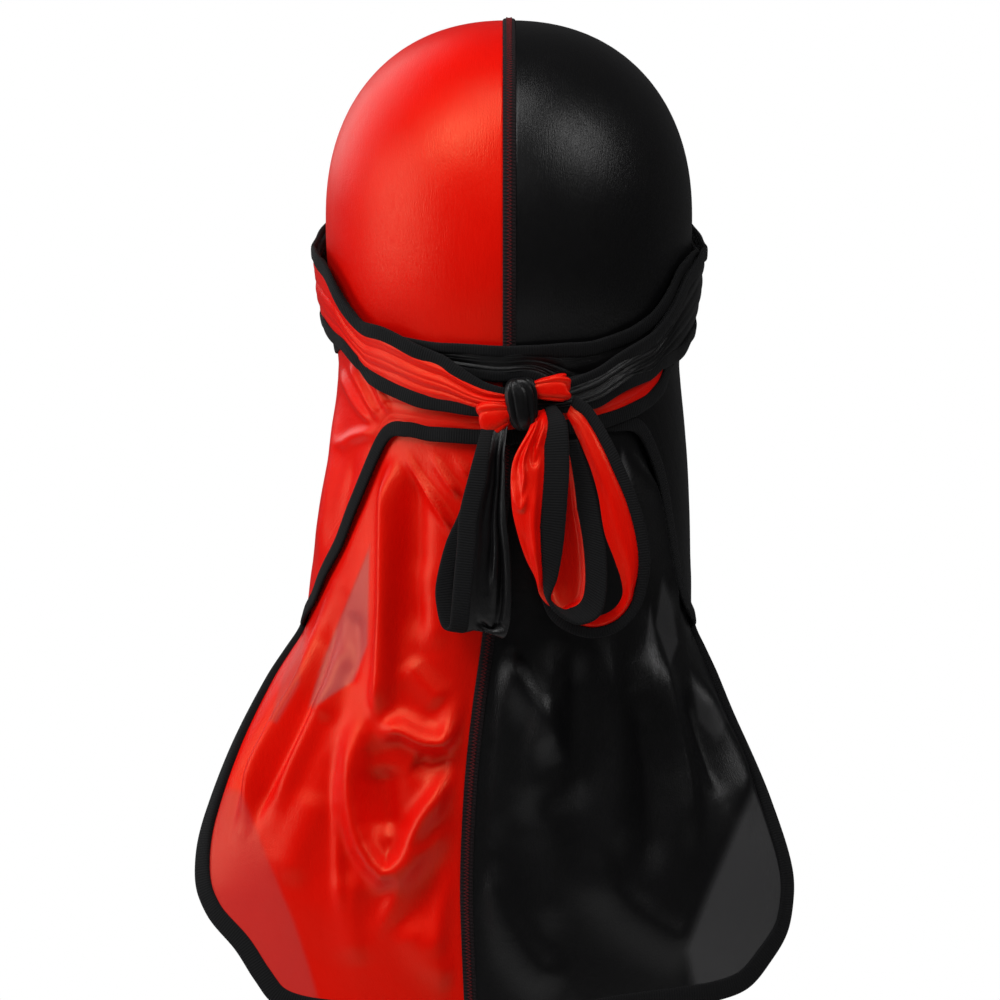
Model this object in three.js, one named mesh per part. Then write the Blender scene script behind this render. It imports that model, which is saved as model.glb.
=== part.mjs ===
// A two-colour satin durag as it is worn: a close crown of two panels joined by a raised centre seam, a long
// cape behind, and two straps that wrap the head and tie in a bow at the nape. All lengths are in millimetres.
// +Z is up, +Y is the way the wearer faces and +X is the wearer's right. The origin is inside the top of the
// crown, where it rests on the head. Azimuth is measured round the head from the back, positive to +X.
import * as THREE from "three";

// The head that the crown is stretched over.
const headWidth = 158;
const headBack = 92;
const headFront = 96;
const crownRise = 85;
const napeReach = 112;
const napeStart = 40;
const napeEnd = 60;
const headRoundness = 2.23;

// Cloth, binding tape and the clearance between two pieces.
const clothWall = 1;
const tapeWall = 1.2;
const tapeWidth = 9;
const clearance = 0.3;

// The centre seam: a raised band of overlocked cloth.
const seamWidth = 6.4;
const seamRise = 0.5;

// The strap ring: how far its upper edge lies under the top of the crown, and how wide the strap is.
const ringBackDrop = 136;
const ringFrontDrop = 60;
const strapWidth = 34;
const gatherDepth = 0.45;

// The cape, from its top under the straps down to the hem.
const capeTopDrop = ringBackDrop + 0.35 * strapWidth;
const capeLength = 284;
const capeFlareLeft = 68;
const capeFlareRight = 51;
const capeSeamShift = 18;
const capeSweep = 36;
const foldAzimuth = 96;
const foldDepth = 6;
const foldWidth = 10;
const foldFree = 25;

// The bow: its drop under the knot, its spread to each side and how far it stands out.
const bowDrop = 100;
const bowSpread = 50;
const bowDepth = 24;
const knotAzimuth = 5;
const knotDrop = ringBackDrop + 0.6 * strapWidth;
const knotHeight = 19;
const knotDepth = 10;

const RED = { color: 0xe3120b, roughness: 0.42, metalness: 0 };
const BLACK = { color: 0x17171a, roughness: 0.45, metalness: 0 };
const TAPE = { color: 0x1c1c1f, roughness: 0.85, metalness: 0 };

const LEFT = -1;
const RIGHT = 1;

const radians = THREE.MathUtils.degToRad;
const lerp = THREE.MathUtils.lerp;
const clamp = THREE.MathUtils.clamp;

// The value of one column of a table at a key, on a smooth curve through its rows. A table with no key of its
// own is read by the number of the row.
function along(table, keyName, column, key) {
  const rows = keyName === "row" ? table.map((entry, row) => ({ row, ...entry })) : table;
  const last = rows.length - 1;
  const k = clamp(key, rows[0][keyName], rows[last][keyName]);
  let i = 0;
  while (i < last - 1 && rows[i + 1][keyName] < k) i++;
  const before = rows[Math.max(i - 1, 0)];
  const a = rows[i];
  const b = rows[i + 1];
  const after = rows[Math.min(i + 2, last)];
  const span = b[keyName] - a[keyName];
  const t = (k - a[keyName]) / span;
  const slopeA = ((b[column] - before[column]) / (b[keyName] - before[keyName])) * span;
  const slopeB = ((after[column] - a[column]) / (after[keyName] - a[keyName])) * span;
  const t2 = t * t;
  const t3 = t2 * t;
  return (
    (2 * t3 - 3 * t2 + 1) * a[column] +
    (t3 - 2 * t2 + t) * slopeA +
    (3 * t2 - 2 * t3) * b[column] +
    (t3 - t2) * slopeB
  );
}

// How far a height lies under the middle of the head. Below the ears it runs out smoothly to the nape, so that
// the cape hangs from there instead of following the neck. The second value is its slope.
function headFall(z) {
  const fall = -z - crownRise;
  if (fall < napeStart) return [fall, 1];
  const left = Math.exp((napeStart - fall) / (napeEnd - napeStart));
  return [lerp(napeEnd, napeStart, left), left];
}

// The head's section at a height: the share of its full width and depth.
function headShare(z) {
  const [fall] = headFall(z);
  const reach = fall < 0 ? crownRise : napeReach;
  return (1 - Math.min(Math.abs(fall) / reach, 0.9999) ** headRoundness) ** (1 / headRoundness);
}

// The cape below the head. drop is a share of capeLength, left and right are shares of the flares, seam of
// capeSeamShift and sweep of capeSweep.
const CAPE = [
  { drop: 0.0, left: 0.0, right: 0.0, seam: 0.0, sweep: 0.0 },
  { drop: 0.11, left: 0.06, right: 0.09, seam: 0.05, sweep: 0.0 },
  { drop: 0.21, left: 0.14, right: 0.13, seam: 0.18, sweep: 0.06 },
  { drop: 0.32, left: 0.21, right: 0.15, seam: 0.35, sweep: 0.15 },
  { drop: 0.41, left: 0.28, right: 0.18, seam: 0.52, sweep: 0.27 },
  { drop: 0.49, left: 0.49, right: 0.38, seam: 0.7, sweep: 0.45 },
  { drop: 0.58, left: 0.71, right: 0.6, seam: 0.86, sweep: 0.66 },
  { drop: 0.66, left: 0.87, right: 0.83, seam: 0.95, sweep: 0.84 },
  { drop: 0.74, left: 1.0, right: 1.02, seam: 1.0, sweep: 0.96 },
  { drop: 0.8, left: 1.06, right: 1.09, seam: 1.0, sweep: 1.0 },
  { drop: 1.02, left: 1.06, right: 1.09, seam: 0.86, sweep: 1.0 },
];

// The section of head or cape at a height on one side: half width, depth behind and in front, and centre.
function section(z, side) {
  const share = headShare(z);
  const drop = Math.max(0, (-capeTopDrop - z) / capeLength);
  const flare = side === LEFT ? capeFlareLeft * along(CAPE, "drop", "left", drop)
    : capeFlareRight * along(CAPE, "drop", "right", drop);
  const seamX = -capeSeamShift * along(CAPE, "drop", "seam", drop);
  const centreY = -capeSweep * along(CAPE, "drop", "sweep", drop);
  return {
    seamX,
    centreY,
    half: (headWidth / 2) * share + flare - side * seamX,
    back: headBack * share + centreY,
    front: headFront * share - centreY,
  };
}

// A point of the form under the cloth, at an azimuth in degrees and a height.
function formPoint(azimuth, z) {
  const a = radians(azimuth);
  const side = Math.sin(a) < 0 ? LEFT : RIGHT;
  const s = section(z, side);
  const depth = Math.cos(a) > 0 ? s.back : s.front;
  return new THREE.Vector3(s.seamX + s.half * Math.sin(a), s.centreY - depth * Math.cos(a), z);
}

// The same point lifted off the form along its outward normal.
function liftedPoint(azimuth, z, lift) {
  const step = 0.5;
  const across = formPoint(azimuth + step, z).sub(formPoint(azimuth - step, z));
  const up = formPoint(azimuth, z + step).sub(formPoint(azimuth, z - step));
  return formPoint(azimuth, z).addScaledVector(across.cross(up).normalize(), lift);
}

// The azimuth of a point that lies on the form.
function azimuthOf(point) {
  const s = section(point.z, point.x < section(point.z, LEFT).seamX ? LEFT : RIGHT);
  const depth = point.y < s.centreY ? s.back : s.front;
  return THREE.MathUtils.radToDeg(Math.atan2((point.x - s.seamX) / s.half, (s.centreY - point.y) / depth));
}

// A point of the crown in a direction from the middle of the head, lifted along the outward normal.
function crownPoint(direction, lift) {
  const depth = direction.y < 0 ? headBack : headFront;
  const flat = Math.hypot(direction.x / (headWidth / 2), direction.y / depth);
  let inside = 0;
  let outside = 2 * napeReach;
  for (let k = 0; k < 40; k++) {
    const size = (inside + outside) / 2;
    const z = size * direction.z - crownRise;
    if (z < 0 && flat * size < headShare(z)) inside = size;
    else outside = size;
  }
  const onForm = direction.clone().multiplyScalar(inside);
  onForm.z -= crownRise;
  const [fall, slope] = headFall(onForm.z);
  const reach = fall < 0 ? crownRise : napeReach;
  const m = headRoundness;
  const rise = (headShare(onForm.z) ** (2 - m) * Math.abs(fall) ** (m - 1) * slope) / reach ** m;
  const normal = new THREE.Vector3(
    onForm.x / (headWidth / 2) ** 2,
    onForm.y / depth ** 2,
    -Math.sign(fall) * rise,
  ).normalize();
  return onForm.addScaledVector(normal, lift);
}

// The direction of a point of the form from the middle of the head.
function directionOf(point) {
  return new THREE.Vector3(point.x, point.y, point.z + crownRise).normalize();
}

// A closed sheet from two grids of points, the outer and the inner face, with its four rims.
function closedSheet(outer, inner) {
  const rows = outer.length;
  const columns = outer[0].length;
  const positions = [];
  for (const point of [...outer, ...inner].flat()) positions.push(point.x, point.y, point.z);
  const at = (face, i, j) => face * rows * columns + i * columns + j;
  const triangles = [];
  const quad = (a, b, c, d) => triangles.push(a, b, c, a, c, d);
  for (let i = 0; i < rows - 1; i++) {
    for (let j = 0; j < columns - 1; j++) {
      quad(at(0, i, j), at(0, i + 1, j), at(0, i + 1, j + 1), at(0, i, j + 1));
      quad(at(1, i, j), at(1, i, j + 1), at(1, i + 1, j + 1), at(1, i + 1, j));
    }
    quad(at(0, i, 0), at(1, i, 0), at(1, i + 1, 0), at(0, i + 1, 0));
    quad(at(0, i + 1, columns - 1), at(1, i + 1, columns - 1), at(1, i, columns - 1), at(0, i, columns - 1));
  }
  for (let j = 0; j < columns - 1; j++) {
    quad(at(0, 0, j + 1), at(1, 0, j + 1), at(1, 0, j), at(0, 0, j));
    quad(at(0, rows - 1, j), at(1, rows - 1, j), at(1, rows - 1, j + 1), at(0, rows - 1, j + 1));
  }
  return facingOut(positions, triangles);
}

// A geometry whose faces point outwards, turned round if its signed volume is negative.
function facingOut(positions, triangles) {
  const corner = (k) => new THREE.Vector3().fromArray(positions, triangles[k] * 3);
  let volume = 0;
  for (let k = 0; k < triangles.length; k += 3) volume += corner(k).dot(corner(k + 1).cross(corner(k + 2)));
  if (volume < 0) {
    for (let k = 0; k < triangles.length; k += 3) {
      [triangles[k + 1], triangles[k + 2]] = [triangles[k + 2], triangles[k + 1]];
    }
  }
  const geometry = new THREE.BufferGeometry();
  geometry.setAttribute("position", new THREE.Float32BufferAttribute(positions, 3));
  geometry.setIndex(triangles);
  return geometry;
}

// A grid of points from a function of the two shares across and down.
function grid(columns, rows, point) {
  return Array.from({ length: rows + 1 }, (_, i) =>
    Array.from({ length: columns + 1 }, (_, j) => point(j / columns, i / rows)),
  );
}

// The scene graph: the durag's body, its straps and its bow, which hangs from its own place at the nape.
const durag = new THREE.Group();
const body = new THREE.Group();
const straps = new THREE.Group();
const bow = new THREE.Group();
durag.add(body, straps, bow);

function addMesh(group, name, geometry, finish) {
  const mesh = new THREE.Mesh(geometry, new THREE.MeshStandardMaterial(finish));
  mesh.name = name;
  group.add(mesh);
}

// The ring's upper edge by azimuth: share 1 is ringBackDrop and 0 is ringFrontDrop.
const RING = [
  { azimuth: 0, share: 1.0 },
  { azimuth: 16, share: 0.985 },
  { azimuth: 30, share: 0.965 },
  { azimuth: 48, share: 0.85 },
  { azimuth: 56, share: 0.72 },
  { azimuth: 64, share: 0.58 },
  { azimuth: 74, share: 0.515 },
  { azimuth: 92, share: 0.475 },
  { azimuth: 120, share: 0.28 },
  { azimuth: 150, share: 0.08 },
  { azimuth: 180, share: 0.0 },
];

function ringTop(azimuth) {
  const turned = Math.abs(((azimuth + 540) % 360) - 180);
  return -lerp(ringFrontDrop, ringBackDrop, along(RING, "azimuth", "share", turned));
}

// The straps. azimuth runs on past a full turn, from the side fold, across the nape, round the far side and the
// brow, and back to the knot. top and bottom are in strap widths above or below the ring's upper edge, and layer
// counts the wraps outwards. The left strap is written as it lies, the right one is mirrored.
const STRAP_LEFT = [
  { azimuth: -97.5, top: -1.22, bottom: -4.95, layer: 0 },
  { azimuth: -86, top: -1.16, bottom: -4.86, layer: 0 },
  { azimuth: -76, top: -1.05, bottom: -4.6, layer: 0 },
  { azimuth: -66, top: -0.85, bottom: -4.1, layer: 0 },
  { azimuth: -57, top: -0.64, bottom: -3.3, layer: 0 },
  { azimuth: -50, top: -0.54, bottom: -2.45, layer: 0 },
  { azimuth: -42, top: -0.46, bottom: -1.5, layer: 0 },
  { azimuth: -34, top: -0.45, bottom: -1.29, layer: 0 },
  { azimuth: -25, top: -0.44, bottom: -1.26, layer: 0 },
  { azimuth: -10, top: -0.5, bottom: -1.25, layer: 0.3 },
  { azimuth: 3, top: -0.52, bottom: -1.22, layer: 1 },
  { azimuth: 20, top: -0.42, bottom: -1.14, layer: 1 },
  { azimuth: 34, top: -0.3, bottom: -1.14, layer: 1 },
  { azimuth: 48, top: -0.25, bottom: -1.2, layer: 1 },
  { azimuth: 60, top: -0.2, bottom: -1.36, layer: 1 },
  { azimuth: 75, top: -0.08, bottom: -1.15, layer: 1 },
  { azimuth: 110, top: -0.06, bottom: -0.92, layer: 1 },
  { azimuth: 135, top: 0, bottom: -0.9, layer: 1 },
  { azimuth: 150, top: 0, bottom: -0.5, layer: 1 },
  { azimuth: 180, top: 0, bottom: -0.48, layer: 1 },
  { azimuth: 195, top: 0, bottom: -0.48, layer: 1.3 },
  { azimuth: 205, top: 0, bottom: -0.48, layer: 2 },
  { azimuth: 225, top: 0, bottom: -0.9, layer: 2 },
  { azimuth: 255, top: 0, bottom: -0.98, layer: 2 },
  { azimuth: 280, top: 0.03, bottom: -1.0, layer: 2 },
  { azimuth: 292, top: -0.05, bottom: -1.08, layer: 2 },
  { azimuth: 305, top: -0.13, bottom: -0.92, layer: 2 },
  { azimuth: 320, top: 0.04, bottom: -0.84, layer: 2 },
  { azimuth: 339, top: -0.12, bottom: -0.86, layer: 2.2 },
  { azimuth: 352.5, top: -0.43, bottom: -0.88, layer: 3 },
];
const STRAP_RIGHT = [
  { azimuth: -97.5, top: -0.02, bottom: -4.95, layer: 0 },
  { azimuth: -86, top: 0, bottom: -4.85, layer: 0 },
  { azimuth: -76, top: 0, bottom: -4.6, layer: 0 },
  { azimuth: -66, top: 0, bottom: -4.15, layer: 0 },
  { azimuth: -59, top: 0, bottom: -3.2, layer: 0 },
  { azimuth: -52, top: 0, bottom: -2.1, layer: 0 },
  { azimuth: -45, top: 0, bottom: -1.45, layer: 0 },
  { azimuth: -34, top: 0, bottom: -1.22, layer: 0 },
  { azimuth: -22, top: 0, bottom: -1.05, layer: 0 },
  { azimuth: -8, top: 0, bottom: -0.48, layer: 0 },
  { azimuth: 5, top: 0, bottom: -0.46, layer: 0 },
  { azimuth: 20, top: 0, bottom: -0.4, layer: 0.3 },
  { azimuth: 32, top: 0, bottom: -0.4, layer: 1 },
  { azimuth: 48, top: -0.1, bottom: -0.6, layer: 1 },
  { azimuth: 60, top: -0.2, bottom: -0.85, layer: 1 },
  { azimuth: 75, top: -0.08, bottom: -0.92, layer: 1 },
  { azimuth: 110, top: -0.06, bottom: -0.9, layer: 1 },
  { azimuth: 135, top: -0.1, bottom: -0.98, layer: 1 },
  { azimuth: 150, top: -0.52, bottom: -1.0, layer: 1 },
  { azimuth: 180, top: -0.52, bottom: -1.0, layer: 1 },
  { azimuth: 195, top: -0.52, bottom: -1.0, layer: 1.3 },
  { azimuth: 205, top: -0.52, bottom: -1.0, layer: 2 },
  { azimuth: 225, top: 0, bottom: -0.98, layer: 2 },
  { azimuth: 255, top: 0, bottom: -1.0, layer: 2 },
  { azimuth: 280, top: 0.03, bottom: -1.15, layer: 2 },
  { azimuth: 294, top: -0.1, bottom: -1.25, layer: 2 },
  { azimuth: 305, top: -0.2, bottom: -0.95, layer: 2 },
  { azimuth: 320, top: -0.18, bottom: -0.76, layer: 2 },
  { azimuth: 334, top: -0.34, bottom: -0.85, layer: 2.3 },
  { azimuth: 345, top: -0.48, bottom: -0.86, layer: 3 },
];
const stationStep = 7.5;
const layerStep = tapeWall + 2 * clearance;
const firstLayer = clothWall + seamRise + 3 * clearance;

// The crown's lower edge under the straps, in strap widths below the ring's upper edge.
const CROWN_EDGE = [
  { azimuth: foldAzimuth, below: 0.5 },
  { azimuth: 120, below: 0.75 },
  { azimuth: 150, below: 0.85 },
  { azimuth: 180, below: 0.88 },
];
const templeAzimuth = 150;

function crownEdge(azimuth) {
  return ringTop(azimuth) - strapWidth * along(CROWN_EDGE, "azimuth", "below", azimuth);
}

// A row of the crown runs from the seam, over the side of the head, to the edge under the strap.
function crownDirection(side, across, back) {
  const frontZ = crownEdge(180);
  const backZ = ringTop(0) - strapWidth / 2;
  const frontTurn = Math.atan2(frontZ + crownRise, formPoint(180, frontZ).y);
  const backTurn = Math.atan2(backZ + crownRise, formPoint(0, backZ).y);
  const turn = lerp(frontTurn, backTurn + 2 * Math.PI, back);
  const seam = new THREE.Vector3(0, Math.cos(turn), Math.sin(turn));
  const onSeam = crownPoint(seam, 0);
  const start = directionOf(onSeam.setX(side * (seamWidth / 2 + clearance)));
  const edgeAzimuth = lerp(templeAzimuth, foldAzimuth, back);
  const end = directionOf(formPoint(side * edgeAzimuth, crownEdge(edgeAzimuth)));
  const angle = start.angleTo(end);
  return start
    .multiplyScalar(Math.sin((1 - across) * angle))
    .addScaledVector(end, Math.sin(across * angle))
    .normalize();
}

// The cape's free edge, from the foot of the side fold round the lobe to the seam. drop is a share of capeLength.
const EDGE_LEFT = [
  { azimuth: 96, drop: 0.41 },
  { azimuth: 90, drop: 0.5 },
  { azimuth: 83, drop: 0.6 },
  { azimuth: 78, drop: 0.7 },
  { azimuth: 71, drop: 0.77 },
  { azimuth: 63, drop: 0.825 },
  { azimuth: 53, drop: 0.87 },
  { azimuth: 47, drop: 0.915 },
  { azimuth: 42, drop: 0.95 },
  { azimuth: 34.5, drop: 0.967 },
  { azimuth: 22, drop: 0.975 },
  { azimuth: 10, drop: 0.99 },
  { azimuth: 1.9, drop: 1.0 },
];
const EDGE_RIGHT = [
  { azimuth: 96, drop: 0.41 },
  { azimuth: 90, drop: 0.5 },
  { azimuth: 84, drop: 0.6 },
  { azimuth: 80, drop: 0.7 },
  { azimuth: 78, drop: 0.78 },
  { azimuth: 74, drop: 0.85 },
  { azimuth: 64, drop: 0.9 },
  { azimuth: 56, drop: 0.935 },
  { azimuth: 47, drop: 0.95 },
  { azimuth: 39, drop: 0.955 },
  { azimuth: 24.5, drop: 0.965 },
  { azimuth: 10, drop: 0.985 },
  { azimuth: 1.6, drop: 1.0 },
];
const edgeEnd = EDGE_LEFT.length - 1;
const edgeCorner = (2 * edgeEnd) / 3;

// A point of the free edge, moved in from it across the cloth. Past the seam the edge goes on as its mirror
// image, so that it meets the seam squarely.
function capeEdge(side, at, inset, lift) {
  const table = side === LEFT ? EDGE_LEFT : EDGE_RIGHT;
  const place = (k) => {
    const before = Math.min(k, 2 * edgeEnd - k);
    const azimuthBefore = along(table, "row", "azimuth", before);
    const azimuth = k > edgeEnd ? 2 * table[edgeEnd].azimuth - azimuthBefore : azimuthBefore;
    return [side * azimuth, -capeTopDrop - capeLength * along(table, "row", "drop", before)];
  };
  const [azimuth, z] = place(at);
  const step = 0.05;
  const ahead = formPoint(...place(at + step));
  const behind = formPoint(...place(Math.max(at - step, 0)));
  const run = ahead.sub(behind).normalize();
  const normal = liftedPoint(azimuth, z, 1).sub(formPoint(azimuth, z));
  const inward = normal.clone().cross(run).multiplyScalar(-side).normalize();
  const flat = formPoint(azimuth, z).addScaledVector(inward, inset);
  return flat.addScaledVector(normal, lift + foldRise(side, flat));
}

// The folds of the cape: ridges and hollows from one place to another. x is a share of the flared half width
// from the seam line, drop is a share of capeLength, height of foldDepth and width of foldWidth.
const FOLDS = [
  { side: LEFT, x0: 0.5, drop0: 0.12, x1: 0.66, drop1: 0.6, bend: 0.04, height: 0.75, width: 0.8 },
  { side: LEFT, x0: 0.42, drop0: 0.14, x1: 0.45, drop1: 0.5, bend: 0.0, height: -0.6, width: 0.9 },
  { side: LEFT, x0: 0.42, drop0: 0.12, x1: 0.2, drop1: 0.32, bend: -0.03, height: 0.35, width: 0.5 },
  { side: LEFT, x0: 0.62, drop0: 0.5, x1: 0.3, drop1: 0.78, bend: 0.14, height: 0.9, width: 0.9 },
  { side: LEFT, x0: 0.3, drop0: 0.78, x1: 0.05, drop1: 0.56, bend: 0.05, height: 0.8, width: 0.9 },
  { side: LEFT, x0: 0.4, drop0: 0.52, x1: 0.08, drop1: 0.5, bend: -0.06, height: 0.6, width: 0.7 },
  { side: LEFT, x0: 0.82, drop0: 0.42, x1: 0.86, drop1: 0.78, bend: 0.03, height: 0.7, width: 0.7 },
  { side: LEFT, x0: 0.74, drop0: 0.45, x1: 0.74, drop1: 0.72, bend: 0.02, height: -0.6, width: 0.7 },
  { side: RIGHT, x0: 0.45, drop0: 0.12, x1: 0.66, drop1: 0.7, bend: 0.03, height: 0.7, width: 0.8 },
  { side: RIGHT, x0: 0.3, drop0: 0.3, x1: 0.1, drop1: 0.62, bend: 0.02, height: 0.5, width: 0.8 },
  { side: RIGHT, x0: 0.35, drop0: 0.4, x1: 0.4, drop1: 0.8, bend: -0.03, height: 0.5, width: 0.9 },
  { side: RIGHT, x0: 0.08, drop0: 0.82, x1: 0.35, drop1: 0.97, bend: 0.06, height: 0.8, width: 0.8 },
  { side: RIGHT, x0: 0.8, drop0: 0.42, x1: 0.84, drop1: 0.85, bend: 0.02, height: 0.6, width: 0.8 },
  { side: RIGHT, x0: 0.72, drop0: 0.4, x1: 0.74, drop1: 0.75, bend: 0.02, height: -0.5, width: 0.7 },
];
const foldSamples = 12;

// How far the cape stands off its form at a point, from all the folds of that side. There are none beside the
// seam, under the straps or under the side flaps.
function foldRise(side, point) {
  const table = side === LEFT ? STRAP_LEFT : STRAP_RIGHT;
  const azimuth = Math.abs(azimuthOf(point));
  const flap = ringTop(azimuth) + strapWidth * along(table, "azimuth", "bottom", -azimuth);
  const fromSeam = clamp((side * (point.x - section(point.z, side).seamX) - seamWidth) / foldWidth, 0, 1);
  const fromStraps = clamp((-point.z - capeTopDrop - strapWidth) / foldFree, 0, 1);
  const fromFlap = clamp((flap - foldWidth / 2 - point.z) / foldFree, 0, 1);
  const full = headWidth / 2 + (side === LEFT ? capeFlareLeft : capeFlareRight);
  const x = (side * point.x) / full;
  const drop = (-capeTopDrop - point.z) / capeLength;
  let rise = 0;
  for (const fold of FOLDS) {
    if (fold.side !== side) continue;
    let nearest = Infinity;
    let nearestAt = 0;
    for (let k = 0; k <= foldSamples; k++) {
      const t = k / foldSamples;
      const foldX = lerp(fold.x0, fold.x1, t) + 4 * fold.bend * t * (1 - t);
      const foldDrop = lerp(fold.drop0, fold.drop1, t);
      const away = Math.hypot((x - foldX) * full, (drop - foldDrop) * capeLength);
      if (away < nearest) {
        nearest = away;
        nearestAt = t;
      }
    }
    const taper = 0.35 + 0.65 * Math.sin(Math.PI * clamp(nearestAt, 0.02, 0.98));
    rise += foldDepth * fold.height * taper * Math.exp(-((nearest / (foldWidth * fold.width)) ** 2));
  }
  return rise * fromSeam * fromStraps * fromFlap;
}

// One panel: the crown's half and the cape's half, cut from one piece of cloth.
function panel(side, name, finish) {
  const columns = 12;
  const crownRows = 10;
  const capeRows = 20;
  const capePlace = (across, down) => {
    const top = crownPoint(crownDirection(side, across, 1), 0);
    const cornerAt = edgeCorner;
    const topPlace = { azimuth: Math.abs(azimuthOf(top)), z: top.z };
    const inset = tapeWidth + 3 * clearance;
    const edgePlace = (at) => {
      const p = capeEdge(side, at, inset, 0);
      return { azimuth: Math.abs(azimuthOf(p)), z: p.z };
    };
    const topOuter = crownPoint(crownDirection(side, 1, 1), 0);
    const foldFoot = -capeTopDrop - capeLength * EDGE_LEFT[0].drop;
    const foldShare = 0.4;
    const outer = (w) => {
      const below = edgePlace((Math.max(w - foldShare, 0) / (1 - foldShare)) * cornerAt);
      if (w >= foldShare) return below;
      const t = w / foldShare;
      return {
        azimuth: lerp(foldAzimuth, below.azimuth, t ** 20),
        z: lerp(topOuter.z, Math.min(below.z, foldFoot), t),
      };
    };
    const bottom = (u) => edgePlace(edgeEnd - u * (edgeEnd - cornerAt));
    const seamTop = crownPoint(crownDirection(side, 0, 1), 0);
    const seamAzimuth = (z) =>
      THREE.MathUtils.radToDeg(Math.asin((seamWidth / 2 + clearance) / section(z, side).half));
    const hemZ = bottom(0).z;
    const seamZ = lerp(seamTop.z, hemZ, down);
    const seam = { azimuth: seamAzimuth(seamZ), z: seamZ };
    const o = outer(down);
    const b = bottom(across);
    const corner = outer(1);
    const blend = (key, t0, t1, b0, b1) =>
      (1 - down) * topPlace[key] + down * b[key] + (1 - across) * seam[key] + across * o[key] -
      ((1 - down) * ((1 - across) * t0 + across * t1) + down * ((1 - across) * b0 + across * b1));
    return {
      azimuth: blend("azimuth", seamAzimuth(seamTop.z), foldAzimuth, bottom(0).azimuth, corner.azimuth),
      z: blend("z", seamTop.z, topOuter.z, hemZ, corner.z),
    };
  };
  const face = (lift) => {
    const crown = grid(columns, crownRows, (u, v) => crownPoint(crownDirection(side, u, v), lift));
    const cape = grid(columns, capeRows, (u, w) => {
      const place = capePlace(u, w);
      const flat = formPoint(side * place.azimuth, place.z);
      return liftedPoint(side * place.azimuth, place.z, lift + foldRise(side, flat));
    });
    return [...crown, ...cape.slice(1)];
  };
  addMesh(body, name, closedSheet(face(clothWall), face(0)), finish);
}

panel(LEFT, "panel_left", RED);
panel(RIGHT, "panel_right", BLACK);

// The centre seam runs from the front edge, over the crown and down the cape to the hem.
function centreSeam() {
  const crownRows = 18;
  const capeRows = 22;
  const backRow = crownPoint(crownDirection(RIGHT, 0, 1), 0).z;
  const hem = capeEdge(LEFT, edgeEnd, 0, 0).z;
  const face = (lift) => {
    const crown = grid(1, crownRows, (u, v) => {
      const direction = crownDirection(RIGHT, 0, v);
      const onSeam = crownPoint(direction, 0).setX(lerp(-seamWidth / 2, seamWidth / 2, u));
      return crownPoint(directionOf(onSeam), lift);
    });
    const cape = grid(1, capeRows, (u, w) => {
      const z = lerp(backRow, hem, w);
      const side = u < 0.5 ? LEFT : RIGHT;
      const azimuth = THREE.MathUtils.radToDeg(Math.asin(seamWidth / 2 / section(z, side).half));
      return liftedPoint(side * azimuth, z, lift);
    });
    return [...crown, ...cape.slice(1)];
  };
  addMesh(body, "centre_seam", closedSheet(face(clothWall + seamRise), face(0)), BLACK);
}
centreSeam();

// The tape on the front edge, from temple to temple.
function frontTape() {
  const steps = 16;
  const edge = (t) => {
    const side = t < 0.5 ? LEFT : RIGHT;
    const p = crownPoint(crownDirection(side, Math.abs(2 * t - 1), 0), 0);
    return t === 0.5 ? p.setX(0) : p;
  };
  const face = (lift) =>
    grid(1, steps, (u, t) => {
      const p = edge(t);
      return liftedPoint(azimuthOf(p), p.z - 2 * clearance - u * tapeWidth, lift);
    });
  addMesh(body, "front_tape", closedSheet(face(tapeWall), face(0)), TAPE);
}
frontTape();

// The tape on the cape's free edge, from the foot of the side fold to the seam.
function capeTape(side, name) {
  const steps = 36;
  const spread = (tapeWall - clothWall) / 2;
  const face = (lift) => grid(1, steps, (u, t) => capeEdge(side, t * edgeEnd, u * tapeWidth, lift));
  addMesh(body, name, closedSheet(face(clothWall + spread), face(-spread)), TAPE);
}
capeTape(LEFT, "cape_tape_left");
capeTape(RIGHT, "cape_tape_right");

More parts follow.
